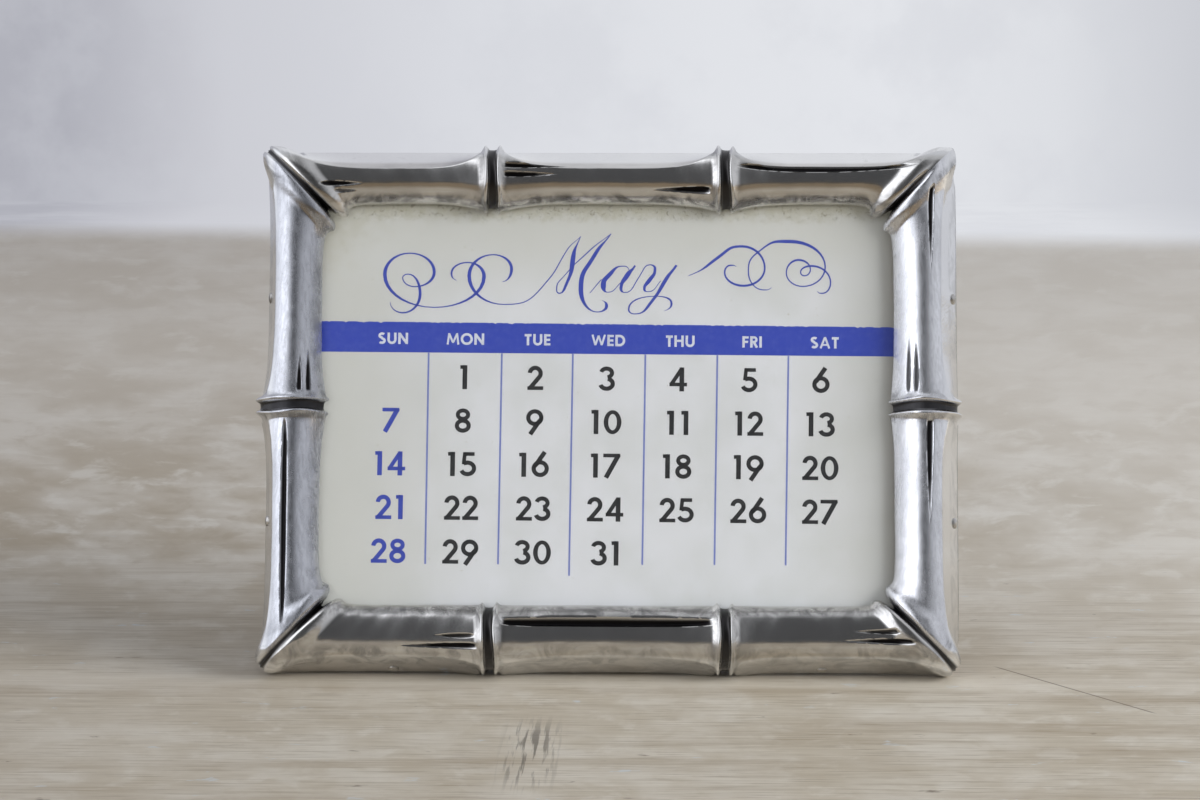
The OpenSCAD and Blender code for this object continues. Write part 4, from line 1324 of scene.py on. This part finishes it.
# Painted light on the wall: brightest a little right of the middle, darker towards both sides; places across
# in metres.
WALL_LIGHT_TONES = ((-0.29, (176, 177, 186)), (-0.21, (204, 205, 212)), (-0.08, (218, 220, 226)),
              (0.03, (225, 227, 232)), (0.12, (227, 229, 234)), (0.2, (221, 223, 228)),
              (0.27, (204, 206, 212)))
EYE_BACK = 0.47      # how far in front of the desk's origin the viewer stands
SCRATCHES_AT = (-0.0093, -0.062)  # a scratched spot in front of the frame
CRACK_TURN = math.radians(58.08)  # heading of a crack at the frame's right
CRACK_AT = (0.04585, 0.05362)     # its place, across its heading and along it
CAMERA_AT = (8.5, -469.5, 98.5)   # in mm
CAMERA_AIM = (-1.1, -13.27, 40.89)
CAMERA_LENS = 94.71


def plane(name, corners, material):
    mesh = bpy.data.meshes.new(name)
    mesh.from_pydata(corners, [], [(0, 1, 2, 3)])
    mesh.materials.append(material)
    obj = bpy.data.objects.new(name, mesh)
    bpy.context.scene.collection.objects.link(obj)


def ramp(net, value, stops, low, high):
    """A colour ramp whose stops are given as (value, colour)."""
    node = net.add("ShaderNodeValToRGB")
    net.feed(node.inputs["Fac"], net.math("DIVIDE", net.math("SUBTRACT", value, low), high - low))
    marks = node.color_ramp.elements
    while len(marks) < len(stops):
        marks.new(0.5)
    for mark, (at, colour) in zip(marks, stops):
        mark.position = (at - low) / (high - low)
        mark.color = colour
    return node.outputs["Color"]


def close_to(net, value, middle, out, full):
    """1 where value is within full of middle, falling to 0 at out."""
    return net.band(net.math("ABSOLUTE", net.math("SUBTRACT", value, middle)), out, full)


def turned_place(net, x, y, across, up):
    return net.math("MULTIPLY_ADD", x, across, net.times(y, up))


def wall_colour(net, place):
    mottle = net.noise(place, 16.0, 5.0, 0.62)
    stops = [(x, rgb(*c)) for x, c in WALL_LIGHT_TONES]
    tone = ramp(net, net.split(place)["X"], stops, -0.32, 0.32)
    return laid_over(net, tone, ((net.band(mottle, 0.4, 0.66), 0.3, (206, 208, 215)),))


def glowing(net, shader, tone, share):
    """Shows a set tone to the camera and in reflections, and plain paint to everything else."""
    glow = net.make("ShaderNodeEmission", Color=tone)
    path = net.add("ShaderNodeLightPath")
    seen = net.math("MAXIMUM", path.outputs["Is Camera Ray"], path.outputs["Is Glossy Ray"])
    seen = net.math("MAXIMUM", seen, path.outputs["Is Transmission Ray"])
    show_mixed(net, net.times(seen, share), shader.outputs["BSDF"], glow.outputs["Emission"])


def build_desk():
    """Bleached wood: cloudy far off, and with grain, pores, chips and scratches near the frame. Painted
    shade darkens it towards the left and the front, and painted light brightens it towards the right.

    The clouds are laid out as the viewer sees them, and the rest in metres on the desk."""
    desk, net, shader = new_material("pale desk")
    place = net.place()
    x, y = net.split(place)[:2]
    reach = net.math("ADD", y, EYE_BACK)
    up = net.math("DIVIDE", 0.1, reach)
    seen = net.make("ShaderNodeCombineXYZ", X=net.math("DIVIDE", x, reach), Y=up).outputs[0]
    broad = net.noise(net.stretch(seen, (22.0, 62.0, 1.0)), 1.0, 3.0, 0.55, 0.3)
    small = net.noise(net.stretch(seen, (60.0, 190.0, 1.0)), 1.0, 4.0, 0.6, 0.3)
    streak = net.noise(net.stretch(place, (9.0, 110.0, 1.0)), 1.0, 5.0, 0.62)
    fine = net.noise(net.stretch(place, (90.0, 1500.0, 1.0)), 1.0, 4.0, 0.62)
    chip = net.noise(net.stretch(place, (110.0, 190.0, 1.0)), 1.0, 4.0, 0.62, 0.2)
    cross = net.noise(net.stretch(place, (1300.0, 50.0, 1.0)), 1.0, 3.0, 0.6)

    near = close_to(net, y, -0.03, 0.16, 0.05)
    grain = net.times(net.band(streak, 0.55, 0.3), net.math("MULTIPLY_ADD", near, 0.4, 0.14))
    pale_chips = net.times(net.band(chip, 0.66, 0.7), net.math("MULTIPLY_ADD", near, 0.5, 0.2))
    scratched = net.times(close_to(net, x, SCRATCHES_AT[0], 0.005, 0.001), net.band(cross, 0.5, 0.6))
    scratched = net.times(scratched, close_to(net, y, SCRATCHES_AT[1], 0.024, 0.008))
    across_crack = turned_place(net, x, y, math.sin(CRACK_TURN), math.cos(CRACK_TURN))
    along_crack = turned_place(net, x, y, math.cos(CRACK_TURN), -math.sin(CRACK_TURN))
    crack = close_to(net, across_crack, CRACK_AT[0], 0.00028, 0.0001)
    crack = net.times(crack, close_to(net, along_crack, CRACK_AT[1], 0.0188, 0.0168))
    # Painted light: the desk brighter to the right of the frame.
    right = net.times(net.band(x, 0.0, 0.12), net.band(y, -0.02, 0.1))
    tone = net.mix(net.band(broad, 0.34, 0.66), rgb(173, 159, 136), rgb(222, 217, 208))
    tone = laid_over(net, tone, (
        (net.band(small, 0.5, 0.68), 0.75, (232, 229, 222)),
        (net.band(small, 0.5, 0.32), 0.5, (158, 141, 113)),
        (near, 0.66, (206, 198, 183)),
        (grain, 1.0, (158, 141, 116)),
        (net.times(net.band(fine, 0.5, 0.3), near), 0.5, (140, 124, 102)),
        (net.times(net.band(fine, 0.55, 0.75), near), 0.45, (232, 226, 214)),
        (pale_chips, 1.0, (205, 212, 218)),
        (net.times(net.band(chip, 0.32, 0.27), near), 0.7, (104, 90, 76)),
        # Paler along a line just in front of the frame.
        (close_to(net, y, -0.0175, 0.006, 0.002), 0.4, (226, 220, 208)),
        (scratched, 0.75, (98, 92, 84)),
        (crack, 0.7, (96, 84, 70)),
        # Painted shade: the desk darker towards the left.
        (net.band(x, 0.04, -0.16), 0.28, (160, 151, 142)),
        (net.band(y, 0.0, 0.45), 0.58, (236, 229, 219)),
        (right, 0.5, (240, 235, 226)),
        # Painted shade: the desk darker towards the front, out of view but seen in the silver.
        (net.band(y, -0.1, -0.17), 0.85, (132, 111, 79)),
    ))
    normal = net.bump(fine, 0.12, 0.0004)
    net.fill(shader, Base_Color=tone, Roughness=0.6, Specular_IOR_Level=0.25, Normal=normal)
    slant = net.math("MULTIPLY_ADD", x, 0.13, y)
    far = net.band(slant, FAR_EDGE - 0.08, FAR_EDGE + 0.05)
    glowing(net, shader, wall_colour(net, place), far)
    plane("desk", [(-1.6, -EYE_BACK, 0), (1.6, -EYE_BACK, 0), (1.6, 1.2, 0), (-1.6, 1.2, 0)], desk)


def build_wall():
    wall, net, shader = new_material("pale wall")
    tone = wall_colour(net, net.place())
    net.fill(shader, Base_Color=tone)
    glowing(net, shader, tone, 1.0)
    plane("wall", [(-2.4, 1.1, -0.2), (2.4, 1.1, -0.2), (2.4, 1.1, 1.8), (-2.4, 1.1, 1.8)], wall)


# The room round the object, by compass angle from the front towards the right, in degrees
ROOM_TONES = ((-180, 0.58), (-135, 0.6), (-112, 0.8), (-96, 0.95), (-79, 1.15), (-60, 1.6), (-40, 1.9),
              (-30, 1.7), (-24, 0.62), (-16, 0.2), (-6, 0.085), (7, 0.075), (14, 0.19), (26, 0.42),
              (42, 0.6), (62, 0.7), (85, 0.62), (106, 0.6), (132, 0.6), (180, 0.58))


def build_world():
    """A quiet room that the silver reflects, and an even dim light for everything else."""
    world = bpy.data.worlds.new("room")
    bpy.context.scene.world = world
    world.use_nodes = True
    net = Net(world.node_tree)
    room = world.node_tree.nodes["Background"]
    x, y, z = net.split(net.add("ShaderNodeTexCoord").outputs["Generated"])
    compass = net.times(net.math("ARCTAN2", x, net.times(y, -1.0)), math.degrees(1.0))
    stops = [(a, (t * 0.485, t * 0.5, t * 0.535, 1.0)) for a, t in ROOM_TONES]
    round_about = ramp(net, compass, stops, -180.0, 180.0)
    ceiling = net.band(z, 0.982, 0.999)
    tone = net.mix(ceiling, round_about, (0.26, 0.27, 0.285, 1.0))
    low = net.band(z, -0.02, -0.1)
    tone = net.mix(net.times(low, 0.8), tone, (0.035, 0.032, 0.03, 1.0))
    net.fill(room, Color=tone, Strength=2.0)
    soft = net.make("ShaderNodeBackground", Color=(0.62, 0.63, 0.65, 1.0), Strength=0.6)
    mirrored = net.add("ShaderNodeLightPath").outputs["Is Glossy Ray"]
    backgrounds = soft.outputs["Background"], room.outputs["Background"]
    show_mixed(net, mirrored, *backgrounds, "World Output")


def add_lamp(name, place, aim, size, watts, colour):
    data = bpy.data.lights.new(name, "AREA")
    data.shape = "RECTANGLE"
    data.size, data.size_y = size
    data.energy = watts
    data.color = colour
    obj = bpy.data.objects.new(name, data)
    obj.location = place
    obj.rotation_euler = (Vector(aim) - Vector(place)).to_track_quat("-Z", "Y").to_euler()
    obj.visible_glossy = False
    obj.visible_transmission = False
    bpy.context.scene.collection.objects.link(obj)


def build_lamps():
    add_lamp("right window", (1.1, -0.6, 0.42), (0, 0, 0.03), (0.9, 0.6), 18.0, (1.0, 0.995, 0.985))
    add_lamp("front fill", (-0.3, -1.3, 0.35), (0, 0, 0.03), (1.4, 0.6), 5.0, (1.0, 1.0, 1.0))


def build_camera():
    data = bpy.data.cameras.new("camera")
    data.lens = CAMERA_LENS
    data.sensor_width = 36.0
    data.clip_start = 0.01
    data.clip_end = 50.0
    obj = bpy.data.objects.new("camera", data)
    obj.location = metres(*CAMERA_AT)
    ahead = Vector(metres(*CAMERA_AIM)) - obj.location
    obj.rotation_euler = ahead.to_track_quat("-Z", "Y").to_euler()
    bpy.context.scene.collection.objects.link(obj)
    bpy.context.scene.camera = obj


build_camera()
build_canes()
build_pins()
build_date_card()
build_month_card()
dress_nodes()
build_desk()
build_wall()
build_world()
build_lamps()
bpy.context.scene.view_settings.view_transform = "Standard"
